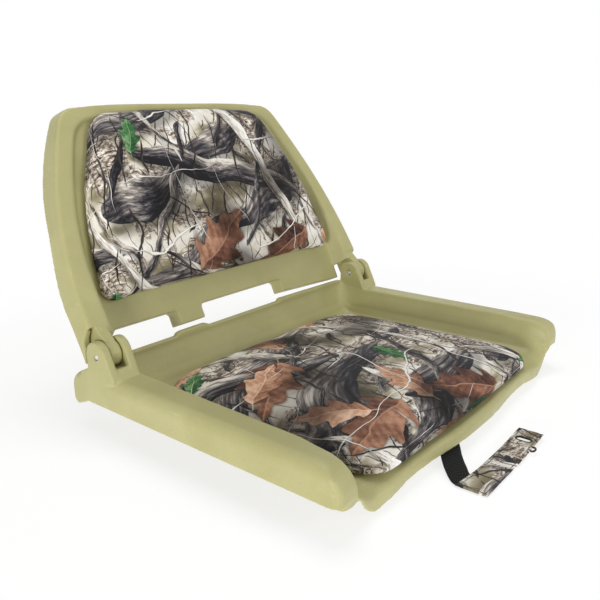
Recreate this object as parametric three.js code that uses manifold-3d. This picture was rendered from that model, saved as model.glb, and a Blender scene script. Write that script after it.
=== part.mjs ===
// Folding boat seat: a moulded seat pan between two hollow side rails, a moulded back that
// folds forward about two steel pins, two padded cushions screwed on from behind, and a
// webbing strap that holds the folded seat shut. Millimetres, +Z up, front towards -Y.
// The origin is the middle of the bolt pattern, on the face that stands on the pedestal.
import * as THREE from "three";
import { mergeVertices } from "three/addons/utils/BufferGeometryUtils.js";
import Module from "manifold-3d";

const wasm = await Module();
wasm.setup();

// Shared clearances and sheet thicknesses
const seatingGap = 0.3;
const cutOverrun = 2;
const shellWall = 3;
const ribWall = 2.6;

// Seat shell
const seatWidth = 460;
const railLength = 338;
const railBottomHeight = 32;
const railHeight = 32;
const railFrontWidth = 27;
const railNoseRadius = 24;
const railEdgeRadius = 11;
const railCornerRadius = 9;
const mountSetback = 160;
const panFloorHeight = 25;
const sideWallRun = 27;
const rearWallRun = 33;
const rearWallHeight = 71;
const rearWallInset = 30;
const lipBottomHeight = 10;
const lipBulge = 6;
const lipRunOut = 24;
const wallFlangeDepth = 6;
const wallFlangeDrop = 26;
const tabRestRise = 4;

// Hinge clevis: two ears on each rear corner of the seat shell
const pinInset = 45;
const pinRise = 20;
const pinRadius = 3;
const pinHoleClearance = 0.4;
const pinRecess = 2;
const earRadius = 15.5;
const earThickness = 9;
const clevisSlot = 15;
const earFootReach = 26.5;
const slotFloorDrop = 10;
const heelDrop = 7;
const heelLength = 24;

// Back shell
const backReclineDegrees = 24;
const panelFootRise = 12;
const panelFootSetback = 16.5;
const backTaper = 60;
const backTaperStart = 34;
const backTopHeight = 273;
const backTaperEndInset = 12;
const topEdgeDrop = 4;
const outerCornerReach = 20;
const innerCornerReach = 30;
const rimEndHeight = 1;
const rimBreakHeight = 22;
const recessFootInset = 35;
const recessSideInset = 26;
const recessTopInset = 14;
const recessRun = 8;
const lowerRimHeight = 22;
const upperRimHeight = 4.5;
const flangeDepth = 18;
const cheekThickness = 6;
const rimHeightPower = 1.45;
const recessSlopeShare = 0.8;
const flangeDraft = 2;
const ridgeRadius = 3;
const combDepth = 20;
const tongueClearance = 1;
const tongueRadius = 13;
const innerReliefRadius = 20;
const outerReliefRadius = 24;
const outerReliefOffset = 5.5;
const outerReliefRise = 9.5;
const tabFootHeight = 9;
const notchHeight = 26;
const firstTabStart = -101.5;
const firstTabEnd = -65;
const secondTabStart = 76;
const secondTabEndHeight = 3.5;
const combEndInset = 6;

// Cushions
const seatCushionSideInset = 29;
const seatCushionFrontInset = 8;
const seatCushionRearInset = 28;
const seatCushionHeight = 32;
const seatFrontCorner = 42;
const seatRearCorner = 64;
const cushionBow = 4;
const backFootCorner = 24;
const backTopCorner = 32;
const backCushionSideBow = 10;
const backCushionFoot = 62;
const backCushionTopInset = 17;
const backCushionInset = 39;
const backCushionHeight = 21;
const coverThickness = 1.2;
const coverTuck = 26;
const boardThickness = 8;

// Fasteners
const screwRadius = 2.9;
const screwHeadRadius = 6;
const screwHeadHeight = 3.4;
const screwBossRadius = 9;
const screwBossHeight = 6;
const standoffHeight = 1.5;
const nutFlangeRadius = 9;
const nutFlangeThickness = 1.2;
const nutBarrelRadius = 3.9;
const nutBarrelLength = 5.5;
const seatScrewSideInset = 15;
const seatScrewFrontReach = 11.5;
const seatScrewRearReach = -8.5;
const backScrewSideInset = 128;
const backScrewRise = 36;
const backScrewDrop = 51;
const boltSpacing = 127;
const insertRadius = 4.6;
const insertBoreRadius = 3.2;
const insertLength = 14;
const insertBossRadius = 12;

// Underside ribs
const frameHalfWidth = 120;
const frameFrontInset = 60;
const frameRearInset = 23;
const centrePadRadius = 26;
const outerRibHeight = 12;
const railRibPitch = 52;
const railRibDepth = 18;
const postWidth = 17;
const postDepth = 12;
const postDrop = 13;

// Strap
const webbingWidth = 25;
const webbingThickness = 1.6;
const strapAnchorX = -38;
const strapAnchorSetback = 16;
const strapBossHeight = 5;
const sleeveLength = 131;
const sleeveLeft = -98;
const sleeveBack = 190;
const sleeveThickness = 3;
const floorGap = 0.3;
const slotHoleLength = 12;
const slotHoleWidth = 5;
const slotHoleInset = 21;
const loopLength = 12;
const loopWidth = 8;
const loopCord = 2;
const loopInset = 28;
const washerRadius = 8;
const washerThickness = 1.4;
const buttonHeadRadius = 7;
const buttonNeckRadius = 3.5;
const buttonNeckLength = 5;
const buttonHeadThickness = 3;
const buttonDrop = 30;

// Shares
const wallShares = [[0, 1], [0.07, 0.8], [0.16, 0.62], [0.32, 0.36], [0.52, 0.15], [0.75, 0.04], [1, 0]];
const floorShares = [0.88, 0.74, 0.6, 0.46, 0.3, 0.15];
const lipPlanShares = [[0, -1], [0.15, -0.95], [0.3, -0.55], [0.45, 0], [0.62, 0.1], [0.78, 0], [0.88, 0.35],
  [0.95, 0.3], [1, 0]];
const lipEdgeShares = [[0, 0], [0.6, 0], [0.72, -0.06], [0.8, -0.2], [0.87, -0.27], [0.925, 0.08],
  [0.965, 0.55], [1, 1]];
const lipRidgeShares = [[0, 0.64], [0.6, 0.64], [0.72, 0.6], [0.8, 0.48], [0.87, 0.44], [0.925, 0.6],
  [0.965, 0.85], [1, 1]];
const flangeDepthShares = [[0, 0.1], [0.08, 0.14], [0.16, 0.25], [0.26, 0.5], [0.35, 0.5], [0.44, 0.48],
  [0.51, 0.56], [0.57, 0.73], [0.63, 0.88], [0.68, 0.97], [0.8, 1], [0.87, 0.93], [0.91, 0.82], [1, 0.72]];
const lipRowShares = [1, 0.68, 0.4, 0.2, 0.09, 0.02];
const lipRoundShares = [0, 0.03, 0.09, 0.2, 0.45, 0.8];
const fastenerSides = 12;
const seatPillowShares = [[0.09, 0], [0.035, 0.03], [0.01, 0.09], [0, 0.17], [0.01, 0.27], [0.035, 0.37],
  [0.08, 0.45], [0.15, 0.55], [0.26, 0.68], [0.45, 0.84], [0.7, 0.96]];
const backPillowShares = [[0.1, 0], [0.045, 0.03], [0.015, 0.12], [0, 0.28], [0.012, 0.46], [0.045, 0.62],
  [0.1, 0.745], [0.2, 0.86], [0.38, 0.945], [0.65, 0.99]];

// Derived places
const railFrontY = -mountSetback;
const railRearY = railFrontY + railLength;
const railTop = railBottomHeight + railHeight;
const halfWidth = seatWidth / 2;
const clevisWidth = 2 * earThickness + clevisSlot;
const clevisInner = halfWidth - clevisWidth;
const slotInner = clevisInner + earThickness;
const slotOuter = halfWidth - earThickness;
const pinY = railRearY - pinInset;
const pinZ = railTop + pinRise;
const earFootY = pinY - earFootReach;
const rearWallY = railRearY - rearWallInset;
const frameFront = mountSetback - frameFrontInset;
const frameRear = rearWallY - frameRearInset;
const backLowerHalfWidth = halfWidth - flangeDraft;
const backTaperEnd = backTopHeight - backTaperEndInset;
const seatCushionHalfWidth = clevisInner - seatCushionSideInset;
const seatCushionFront = mountSetback - seatCushionFrontInset;
const seatCushionRear = rearWallY - seatCushionRearInset;
const backCushionTop = backTopHeight - backCushionTopInset;
const tongueInner = slotInner + tongueClearance;
const tongueOuter = slotOuter - tongueClearance;
const turn = THREE.MathUtils.degToRad;

// Geometry helpers: closed meshes become solids, solids are joined and cut
function signedVolume(points, faces) {
  const [a, b, c] = [new THREE.Vector3(), new THREE.Vector3(), new THREE.Vector3()];
  let volume = 0;
  for (let i = 0; i < faces.length; i += 3) {
    a.copy(points[faces[i]]);
    b.copy(points[faces[i + 1]]);
    c.copy(points[faces[i + 2]]);
    volume += a.dot(b.cross(c));
  }
  return volume;
}

function geometryFromFaces(points, faces) {
  const outward = signedVolume(points, faces) > 0;
  const index = [];
  for (let i = 0; i < faces.length; i += 3) {
    index.push(faces[i], outward ? faces[i + 1] : faces[i + 2], outward ? faces[i + 2] : faces[i + 1]);
  }
  const geometry = new THREE.BufferGeometry().setFromPoints(points);
  geometry.setIndex(index);
  return geometry;
}

function solid(geometry) {
  const bare = geometry.clone();
  bare.deleteAttribute("normal");
  bare.deleteAttribute("uv");
  const merged = mergeVertices(bare, seatingGap / 1000);
  return new wasm.Manifold(new wasm.Mesh({
    numProp: 3,
    vertProperties: new Float32Array(merged.attributes.position.array),
    triVerts: new Uint32Array(merged.index.array),
  }));
}

function joined(solids) {
  return solids.reduce((whole, piece) => whole.add(piece));
}

function cutBy(body, tools) {
  return tools.reduce((rest, tool) => rest.subtract(tool), body);
}

function extruded(points, depth) {
  const shape = new THREE.Shape(points.map(([u, v]) => new THREE.Vector2(u, v)));
  return new THREE.ExtrudeGeometry(shape, { depth, steps: 1, bevelEnabled: false });
}

// points are [y, z] pairs
function prismAlongX(points, start, end) {
  const axes = new THREE.Matrix4().makeBasis(
    new THREE.Vector3(0, 1, 0), new THREE.Vector3(0, 0, 1), new THREE.Vector3(1, 0, 0));
  return solid(extruded(points, end - start).applyMatrix4(axes).translate(start, 0, 0));
}

// points are [x, z] pairs
function prismAlongY(points, start, end) {
  const axes = new THREE.Matrix4().makeBasis(
    new THREE.Vector3(0, 0, 1), new THREE.Vector3(1, 0, 0), new THREE.Vector3(0, 1, 0));
  const turned = points.map(([x, z]) => [z, x]);
  return solid(extruded(turned, end - start).applyMatrix4(axes).translate(0, start, 0));
}

// points are [x, y] pairs
function prismAlongZ(points, start, end) {
  return solid(extruded(points, end - start).translate(0, 0, start));
}

function block(x0, x1, y0, y1, z0, z1) {
  const box = new THREE.BoxGeometry(x1 - x0, y1 - y0, z1 - z0);
  return solid(box.translate((x0 + x1) / 2, (y0 + y1) / 2, (z0 + z1) / 2));
}

function rodAlongX(radius, x0, x1, y, z, sides = 32) {
  const rod = new THREE.CylinderGeometry(radius, radius, x1 - x0, sides).rotateZ(Math.PI / 2);
  return solid(rod.translate((x0 + x1) / 2, y, z));
}

function rodAlongZ(radius, z0, z1, x, y, sides = 18) {
  const rod = new THREE.CylinderGeometry(radius, radius, z1 - z0, sides).rotateX(Math.PI / 2);
  return solid(rod.translate(x, y, (z0 + z1) / 2));
}

function arc(cx, cy, radius, from, to, steps) {
  return Array.from({ length: steps + 1 }, (_, i) => {
    const angle = turn(from + ((to - from) * i) / steps);
    return [cx + radius * Math.cos(angle), cy + radius * Math.sin(angle)];
  });
}

// Smooth curve through a table of [place, value] pairs
function along(table, place) {
  const last = table.length - 1;
  const i = Math.max(0, Math.min(last - 1, table.findIndex(([p]) => p > place) - 1));
  if (place >= table[last][0]) return table[last][1];
  const slope = (k) => {
    const [a, b] = [table[Math.max(0, k - 1)], table[Math.min(last, k + 1)]];
    return (b[1] - a[1]) / (b[0] - a[0]);
  };
  const [p0, v0] = table[i];
  const [p1, v1] = table[i + 1];
  const run = p1 - p0;
  const t = (place - p0) / run;
  const [m0, m1] = [slope(i) * run, slope(i + 1) * run];
  return (2 * t ** 3 - 3 * t ** 2 + 1) * v0 + (t ** 3 - 2 * t ** 2 + t) * m0
    + (3 * t ** 2 - 2 * t ** 3) * v1 + (t ** 3 - t ** 2) * m1;
}

function smooth(t) {
  const s = Math.max(0, Math.min(1, t));
  return s * s * (3 - 2 * s);
}

// A sheet of rows and columns of points, thickened against its normal
function sheet(rows, thickness) {
  const [count, width] = [rows.length, rows[0].length];
  const under = rows.map((row, r) => row.map((point, c) => {
    const across = rows[r][Math.min(width - 1, c + 1)].clone().sub(rows[r][Math.max(0, c - 1)]);
    const down = rows[Math.min(count - 1, r + 1)][c].clone().sub(rows[Math.max(0, r - 1)][c]);
    return point.clone().addScaledVector(across.cross(down).normalize(), thickness);
  }));
  const points = [...rows.flat(), ...under.flat()];
  const at = (side, r, c) => side * count * width + r * width + c;
  const faces = [];
  const quad = (a, b, c, d) => faces.push(a, b, c, a, c, d);
  for (let r = 0; r < count - 1; r += 1) {
    for (let c = 0; c < width - 1; c += 1) {
      quad(at(0, r, c), at(0, r, c + 1), at(0, r + 1, c + 1), at(0, r + 1, c));
      quad(at(1, r, c), at(1, r + 1, c), at(1, r + 1, c + 1), at(1, r, c + 1));
    }
    quad(at(0, r, 0), at(0, r + 1, 0), at(1, r + 1, 0), at(1, r, 0));
    quad(at(0, r + 1, width - 1), at(0, r, width - 1), at(1, r, width - 1), at(1, r + 1, width - 1));
  }
  for (let c = 0; c < width - 1; c += 1) {
    quad(at(0, 0, c + 1), at(0, 0, c), at(1, 0, c), at(1, 0, c + 1));
    quad(at(0, count - 1, c), at(0, count - 1, c + 1), at(1, count - 1, c + 1), at(1, count - 1, c));
  }
  return geometryFromFaces(points, faces);
}

// Rings of equal point count, closed by a fan to a middle point at each end
function pillow(rings, low, high) {
  const count = rings[0].length;
  const points = [...rings.flat(), low, high];
  const faces = [];
  for (let r = 0; r < rings.length - 1; r += 1) {
    for (let i = 0; i < count; i += 1) {
      const [a, b] = [r * count + i, r * count + ((i + 1) % count)];
      faces.push(a, b, b + count, a, b + count, a + count);
    }
  }
  const top = (rings.length - 1) * count;
  for (let i = 0; i < count; i += 1) {
    const next = (i + 1) % count;
    faces.push(next, i, points.length - 2, top + i, top + next, points.length - 1);
  }
  return geometryFromFaces(points, faces);
}

// A profile carried along a path; sections hold points, flat is one profile in its own plane
function swept(sections, flat) {
  const count = flat.length;
  const points = sections.flat();
  const faces = [];
  for (let s = 0; s < sections.length - 1; s += 1) {
    for (let i = 0; i < count; i += 1) {
      const [a, b] = [s * count + i, s * count + ((i + 1) % count)];
      faces.push(a, b, b + count, a, b + count, a + count);
    }
  }
  const end = (sections.length - 1) * count;
  const cap = THREE.ShapeUtils.triangulateShape(flat.map(([u, v]) => new THREE.Vector2(u, v)), []);
  const forward = THREE.ShapeUtils.area(flat.map(([u, v]) => new THREE.Vector2(u, v))) > 0;
  for (const [a, b, c] of cap) {
    if (forward) faces.push(a, c, b, end + a, end + b, end + c);
    else faces.push(a, b, c, end + a, end + c, end + b);
  }
  return geometryFromFaces(points, faces);
}

function mirroredInX(piece) {
  return piece.mirror([1, 0, 0]);
}

const part = new THREE.Group();

function addPiece(name, piece, material) {
  const mesh = piece.getMesh();
  const geometry = new THREE.BufferGeometry();
  geometry.setAttribute("position", new THREE.BufferAttribute(new Float32Array(mesh.vertProperties), 3));
  geometry.setIndex(new THREE.BufferAttribute(new Uint32Array(mesh.triVerts), 1));
  geometry.computeVertexNormals();
  const node = new THREE.Mesh(geometry, material);
  node.name = name;
  part.add(node);
}

const mouldedPlastic = new THREE.MeshStandardMaterial({ color: "#b3af76", roughness: 0.55 });
const printedVinyl = new THREE.MeshStandardMaterial({ color: "#6f6a60", roughness: 0.7 });
const foam = new THREE.MeshStandardMaterial({ color: "#d9d2b8", roughness: 0.95 });
const plywood = new THREE.MeshStandardMaterial({ color: "#b98f5b", roughness: 0.8 });
const steel = new THREE.MeshStandardMaterial({ color: "#b9bbbd", roughness: 0.35, metalness: 1 });
const brass = new THREE.MeshStandardMaterial({ color: "#b5913f", roughness: 0.4, metalness: 1 });
const blackWebbing = new THREE.MeshStandardMaterial({ color: "#1b1b1c", roughness: 0.9 });

// Side rails: three extruded outlines, plan, cross-section and side view, kept where they meet
function railWidthAt(y) {
  const share = Math.min(1, Math.max(0, (y - railFrontY) / (earFootY - railFrontY)));
  return railFrontWidth + (clevisWidth - railFrontWidth) * share;
}

function railTopAt(y) {
  const reach = railFrontY + railNoseRadius - y;
  if (reach <= 0) return railTop;
  return railTop - railNoseRadius + Math.sqrt(Math.max(0, railNoseRadius ** 2 - reach ** 2));
}

function railOutline(inset, rearY, overrun) {
  const outer = halfWidth - inset;
  const front = railFrontY + inset;
  const corner = Math.max(seatingGap, railCornerRadius - inset);
  const plan = [
    [halfWidth - railFrontWidth + inset, front],
    ...arc(outer - corner, front + corner, corner, -90, 0, 6),
    [outer, rearY], [clevisInner + inset, rearY], [clevisInner + inset, earFootY],
  ];
  const edge = Math.max(seatingGap, railEdgeRadius - inset);
  const top = railTop - inset;
  const section = [
    [clevisInner - railFrontWidth, railBottomHeight - overrun], [outer, railBottomHeight - overrun],
    ...arc(outer - edge, top - edge, edge, 0, 90, 7), [clevisInner - railFrontWidth, top],
  ];
  return [plan, section];
}

function railSide(inset, overrun) {
  const nose = railNoseRadius - inset;
  const top = railTop - inset;
  const heel = railBottomHeight - heelDrop;
  const rounding = 2 * railEdgeRadius;
  const front = [
    [railFrontY + inset, railBottomHeight - overrun],
    ...arc(railFrontY + inset + nose, top - nose, nose, 180, 90, 11),
  ];
  if (inset > 0) return [...front, [earFootY - inset, top], [earFootY - inset, railBottomHeight - overrun]];
  return [
    ...front,
    ...arc(railRearY - rounding, railTop - rounding, rounding, 90, 0, 7),
    [railRearY, heel + heelDrop], ...arc(railRearY - heelDrop, heel + heelDrop, heelDrop, 0, -90, 4),
    [railRearY - heelLength, railBottomHeight],
  ];
}

function rail() {
  const low = railBottomHeight - heelDrop - cutOverrun;
  const [plan, section] = railOutline(0, railRearY, heelDrop + cutOverrun);
  const outer = prismAlongZ(plan, low, railTop)
    .intersect(prismAlongY(section, railFrontY - cutOverrun, railRearY + cutOverrun))
    .intersect(prismAlongX(railSide(0, 0), clevisInner - railFrontWidth, halfWidth));
  const [innerPlan, innerSection] = railOutline(shellWall, earFootY, heelDrop + cutOverrun);
  const hollow = prismAlongZ(innerPlan, low, railTop)
    .intersect(prismAlongY(innerSection, railFrontY, earFootY - shellWall))
    .intersect(prismAlongX(railSide(shellWall, cutOverrun), clevisInner - railFrontWidth, halfWidth));
  const heelHollow = block(clevisInner + shellWall, halfWidth - shellWall,
    earFootY, railRearY - 2 * shellWall, low, railTop - railEdgeRadius - 2 * shellWall);
  const ribs = [];
  for (let y = railFrontY + railRibPitch; y < earFootY - railRibPitch / 2; y += railRibPitch) {
    const inner = halfWidth - railWidthAt(y);
    ribs.push(block(inner + ribWall / 2, halfWidth - ribWall / 2, y, y + ribWall,
      railTop - railRibDepth, railTop - ribWall / 2));
  }
  const postInner = halfWidth - railFrontWidth - shellWall;
  const postOuter = postInner + postWidth;
  const postFoot = railBottomHeight - postDrop;
  const rounding = railNoseRadius / 6;
  const post = prismAlongY([
    [postInner, railTop - railNoseRadius],
    ...arc(postInner + rounding, postFoot + rounding, rounding, 180, 270, 4),
    ...arc(postOuter - rounding, postFoot + rounding, rounding, 270, 360, 4),
    [postOuter, railTop - railNoseRadius],
  ], railFrontY + shellWall, railFrontY + shellWall + postDepth);
  return joined([outer.subtract(hollow).subtract(heelHollow), post, joined(ribs).intersect(outer)]);
}

// Clevis: two ears with a round head, a sloping front and an upright rear, over a sloping floor
function earOutline(radius) {
  const reach = Math.hypot(pinY - earFootY, pinZ - railTop);
  const toFoot = Math.atan2(railTop - pinZ, earFootY - pinY);
  const touch = toFoot - Math.acos(radius / reach);
  const steps = 14;
  const head = Array.from({ length: steps + 1 }, (_, i) => {
    const angle = (touch + 2 * Math.PI) * (1 - i / steps);
    return [pinY + radius * Math.cos(angle), pinZ + radius * Math.sin(angle)];
  });
  const base = railTop - shellWall;
  return [[earFootY, base], [earFootY, railTop], ...head, [pinY + radius, base]];
}

function clevis() {
  const floorTop = pinZ - slotFloorDrop;
  const heelTop = railTop + shellWall;
  const slopeShare = (floorTop - railTop) / (pinZ - railTop);
  const floorFront = earFootY + slopeShare * (pinY - earRadius - earFootY);
  const floor = prismAlongX([
    [earFootY, railTop - shellWall], [earFootY, railTop], [floorFront, floorTop],
    [pinY - tongueRadius, floorTop - ribWall], [pinY + earRadius, heelTop + ribWall],
    [pinY + earRadius + railEdgeRadius, railTop + seatingGap],
    [railRearY - railEdgeRadius, railTop - railEdgeRadius], [pinY, railTop - railEdgeRadius],
  ], clevisInner, halfWidth);
  const ears = [
    prismAlongX(earOutline(earRadius), clevisInner, slotInner),
    prismAlongX(earOutline(earRadius), slotOuter, halfWidth),
  ];
  const bore = rodAlongX(pinRadius + pinHoleClearance, clevisInner - cutOverrun, halfWidth + cutOverrun,
    pinY, pinZ);
  const swing = rodAlongX(tongueRadius + tongueClearance, slotInner, slotOuter, pinY, pinZ);
  return joined([floor, ...ears]).subtract(bore).subtract(swing);
}

// Pan: floor, side walls, rear wall and a rolled front lip, as one thickened sheet
function innerHalfWidthAt(y) {
  return halfWidth - railWidthAt(y);
}

function panHeight(x, y) {
  const inside = innerHalfWidthAt(y) - Math.abs(x);
  const full = rearWallHeight - panFloorHeight;
  const side = along(wallShares, Math.min(1, inside / sideWallRun)) * (railTopAt(y) - panFloorHeight);
  const rear = along(wallShares, Math.min(1, (rearWallY - y) / rearWallRun)) * full;
  return panFloorHeight + full * (1 - (1 - side / full) * (1 - rear / full));
}

function panSheet() {
  const wallColumns = wallShares.map(([t]) => t);
  const columnsAt = (y) => {
    const half = innerHalfWidthAt(y);
    const side = [...wallColumns.map((t) => half - t * sideWallRun),
      ...floorShares.map((share) => share * (half - sideWallRun))];
    return [...side.map((x) => -x), 0, ...side.reverse()];
  };
  const lipHalf = innerHalfWidthAt(railFrontY);
  const rows = [];
  const rearFoot = rearWallY - rearWallRun;
  const lipStart = railFrontY + lipRunOut;
  for (const t of wallColumns) rows.push(rearWallY - t * rearWallRun);
  const middleRows = 8;
  for (let i = 1; i <= middleRows; i += 1) {
    rows.push(rearFoot + ((lipStart - rearFoot) * i) / (middleRows + 1));
  }
  const points = rows.map((y) => columnsAt(y).map((x) => new THREE.Vector3(x, y, panHeight(x, y))));
  const rise = railBottomHeight - lipBottomHeight;
  const lipAt = (x) => {
    const t = Math.min(1, Math.abs(x) / lipHalf);
    return {
      y: railFrontY + lipBulge * along(lipPlanShares, t),
      ridge: lipBottomHeight + rise * along(lipRidgeShares, t),
      edge: lipBottomHeight + rise * along(lipEdgeShares, t),
    };
  };
  lipRowShares.forEach((share, k) => {
    points.push(columnsAt(railFrontY + share * lipRunOut).map((x) => {
      const lip = lipAt(x);
      const y = lip.y + share * (lipStart - lip.y);
      const base = panHeight(x, Math.max(y, railFrontY));
      const blend = smooth((1 - share) * 1.1);
      const z = base + (lip.ridge - base) * blend;
      return new THREE.Vector3(x, y, z - lipRoundShares[k] * (lip.ridge - lip.edge) * 0.3);
    }));
  });
  for (const drop of [0.55, 1]) {
    points.push(columnsAt(railFrontY).map((x) => {
      const lip = lipAt(x);
      return new THREE.Vector3(x, lip.y, lip.ridge + (lip.edge - lip.ridge) * drop - seatingGap * (1 - drop));
    }));
  }
  return solid(sheet(points, shellWall));
}

// Rear wall flange and the two raised rests that the back's tabs come down on
function rearFlange() {
  const top = rearWallHeight;
  const deep = rearWallY + wallFlangeDepth;
  const flange = prismAlongX([
    [rearWallY - shellWall / 2, top - shellWall], [rearWallY - shellWall / 2, top - seatingGap],
    [rearWallY, top], [deep - ribWall / 2, top], [deep, top - ribWall / 2], [deep, top - wallFlangeDrop],
    [deep - ribWall, top - wallFlangeDrop], [deep - ribWall, top - shellWall],
  ], -clevisInner - seatingGap, clevisInner + seatingGap);
  const ease = 2 * shellWall;
  const firstRest = [
    [firstTabStart - 2.5 * ease, top - ribWall], [firstTabStart - 2 * ease, top + tabRestRise * 0.6],
    [firstTabStart - ease, top + tabRestRise], [firstTabEnd - ease, top + tabRestRise],
    [firstTabEnd + ease / 2, top], [firstTabEnd + ease / 2, top - ribWall],
  ];
  const secondRest = [
    [secondTabStart - 3.2 * ease, top - ribWall], [secondTabStart - 2.6 * ease, top + tabRestRise * 0.5],
    [secondTabStart - 2 * ease, top + tabRestRise * 0.75], [clevisInner - ease, top + seatingGap],
    [clevisInner - ease, top - ribWall],
  ];
  const rests = [firstRest, secondRest].map((rest) => prismAlongY(rest, rearWallY - shellWall / 3, deep));
  return joined([flange, ...rests]);
}

// Underside: rib frame that stands on the pedestal plate, bosses for the inserts and screws
const pairs = (xs, ys) => xs.flatMap((x) => ys.map((y) => [x, y]));
const halfBolt = boltSpacing / 2;
const seatScrewX = frameHalfWidth - seatScrewSideInset;
const seatScrewPlaces = pairs([-seatScrewX, seatScrewX],
  [-halfBolt - seatScrewFrontReach, halfBolt + seatScrewRearReach]);
const insertPlaces = pairs([-halfBolt, halfBolt], [-halfBolt, halfBolt]);

function underside() {
  const high = panFloorHeight - shellWall / 2;
  const pieces = [];
  const halfRib = ribWall / 2;
  const wallsX = [-frameHalfWidth, -halfBolt, 0, halfBolt, frameHalfWidth];
  const wallsY = [-frameFront, -halfBolt, 0, halfBolt, frameRear];
  for (const x of wallsX) pieces.push(block(x - halfRib, x + halfRib, -frameFront, frameRear, 0, high));
  for (const y of wallsY) {
    pieces.push(block(-frameHalfWidth, frameHalfWidth, y - halfRib, y + halfRib, 0, high));
  }
  for (const y of wallsY.slice(1, 4)) {
    const reach = innerHalfWidthAt(y) - sideWallRun;
    for (const side of [-1, 1]) {
      const [a, b] = [side * frameHalfWidth, side * reach];
      pieces.push(block(Math.min(a, b), Math.max(a, b), y - halfRib, y + halfRib, outerRibHeight, high));
    }
  }
  for (const [x, y] of insertPlaces) pieces.push(rodAlongZ(insertBossRadius, 0, high, x, y));
  const bossLow = panFloorHeight - shellWall - screwBossHeight;
  for (const [x, y] of seatScrewPlaces) {
    pieces.push(rodAlongZ(screwBossRadius, bossLow, panFloorHeight + standoffHeight, x, y));
  }
  pieces.push(rodAlongZ(centrePadRadius, 0, high, 0, 0, 32));
  pieces.push(rodAlongZ(screwBossRadius, panFloorHeight - shellWall - strapBossHeight, high, strapAnchorX,
    railFrontY + strapAnchorSetback));
  return joined(pieces);
}

function undersideHoles() {
  const holes = insertPlaces.map(([x, y]) => rodAlongZ(insertRadius + seatingGap, -cutOverrun,
    insertLength + 2 * seatingGap, x, y));
  const bossLow = panFloorHeight - shellWall - screwBossHeight;
  for (const [x, y] of seatScrewPlaces) {
    holes.push(rodAlongZ(screwRadius + seatingGap, 0, panFloorHeight + 2 * standoffHeight, x, y));
    holes.push(rodAlongZ(screwHeadRadius + 2 * seatingGap, -cutOverrun, bossLow, x, y));
  }
  holes.push(rodAlongZ(screwRadius + seatingGap, 0, panFloorHeight - shellWall, strapAnchorX,
    railFrontY + strapAnchorSetback));
  return holes;
}

const sideRail = rail();
const sideClevis = clevis();
const seatShell = cutBy(joined([
  panSheet(), sideRail, mirroredInX(sideRail), sideClevis, mirroredInX(sideClevis), rearFlange(), underside(),
]), undersideHoles());
addPiece("seat_shell", seatShell, mouldedPlastic);

// Back shell, drawn on its own panel plane: x across, s up the panel, n out of its front face
const panelFoot = new THREE.Vector3(0, pinY + panelFootSetback, pinZ - panelFootRise);
const lean = turn(backReclineDegrees);
const upPanel = new THREE.Vector3(0, Math.sin(lean), Math.cos(lean));
const outOfPanel = new THREE.Vector3(0, -Math.cos(lean), Math.sin(lean));
const panelAxes = new THREE.Matrix4().makeBasis(new THREE.Vector3(1, 0, 0), upPanel, outOfPanel)
  .setPosition(panelFoot);

function onPanel(x, s, n) {
  return new THREE.Vector3(x, s, n).applyMatrix4(panelAxes);
}

function stoodUp(piece) {
  return piece.transform(panelAxes.elements);
}

function backHalfWidthAt(s) {
  const share = Math.max(0, s - backTaperStart) / (backTaperEnd - backTaperStart);
  return backLowerHalfWidth - backTaper * share ** 2;
}

// Two matching curves, from the left hinge up, over the top and down to the right hinge:
// the rim's outer edge, and the line where the recess wall meets the panel
function rimCurve(footInset, sideInset, topInset, cornerReach) {
  const sideEndHeight = backTopHeight - topInset - cornerReach;
  const side = [];
  const sideSteps = 13;
  for (let i = 0; i <= sideSteps; i += 1) {
    const s = rimEndHeight + ((sideEndHeight - rimEndHeight) * i) / sideSteps;
    const inset = footInset + ((sideInset - footInset) * i) / sideSteps;
    side.push(new THREE.Vector2(inset - backHalfWidthAt(s), s));
  }
  const sideEnd = side[sideSteps];
  const slope = sideEnd.clone().sub(side[sideSteps - 1]).normalize();
  const topHeight = backTopHeight - topInset - topEdgeDrop;
  const apex = sideEnd.clone().addScaledVector(slope, (topHeight - sideEnd.y) / slope.y);
  const topReach = Math.abs(apex.x) - cornerReach;
  const corner = new THREE.QuadraticBezierCurve(sideEnd, apex, new THREE.Vector2(-topReach, topHeight))
    .getPoints(9).slice(1);
  const topSteps = 6;
  const top = [];
  for (let i = 1; i < topSteps; i += 1) {
    const x = topReach * (1 - i / topSteps);
    top.push(new THREE.Vector2(-x, backTopHeight - topInset - topEdgeDrop * (x / topReach) ** 4));
  }
  const left = [...side, ...corner, ...top];
  const right = left.map((point) => new THREE.Vector2(-point.x, point.y)).reverse();
  return [...left, new THREE.Vector2(0, backTopHeight - topInset), ...right];
}

const rimOuter = rimCurve(0, 0, 0, outerCornerReach);
const rimInner = rimCurve(recessFootInset, recessSideInset, recessTopInset, innerCornerReach);

// Height of the land above the panel, and depth of the flange behind it
function rimSizesAt(s) {
  const rise = Math.min(1, Math.max(0, (s - backTaperStart) / (backTopHeight - backTaperStart)));
  return {
    height: upperRimHeight + (lowerRimHeight - upperRimHeight) * (1 - rise) ** rimHeightPower,
    depth: flangeDepth * along(flangeDepthShares, Math.min(1, s / backTopHeight)),
  };
}

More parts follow.
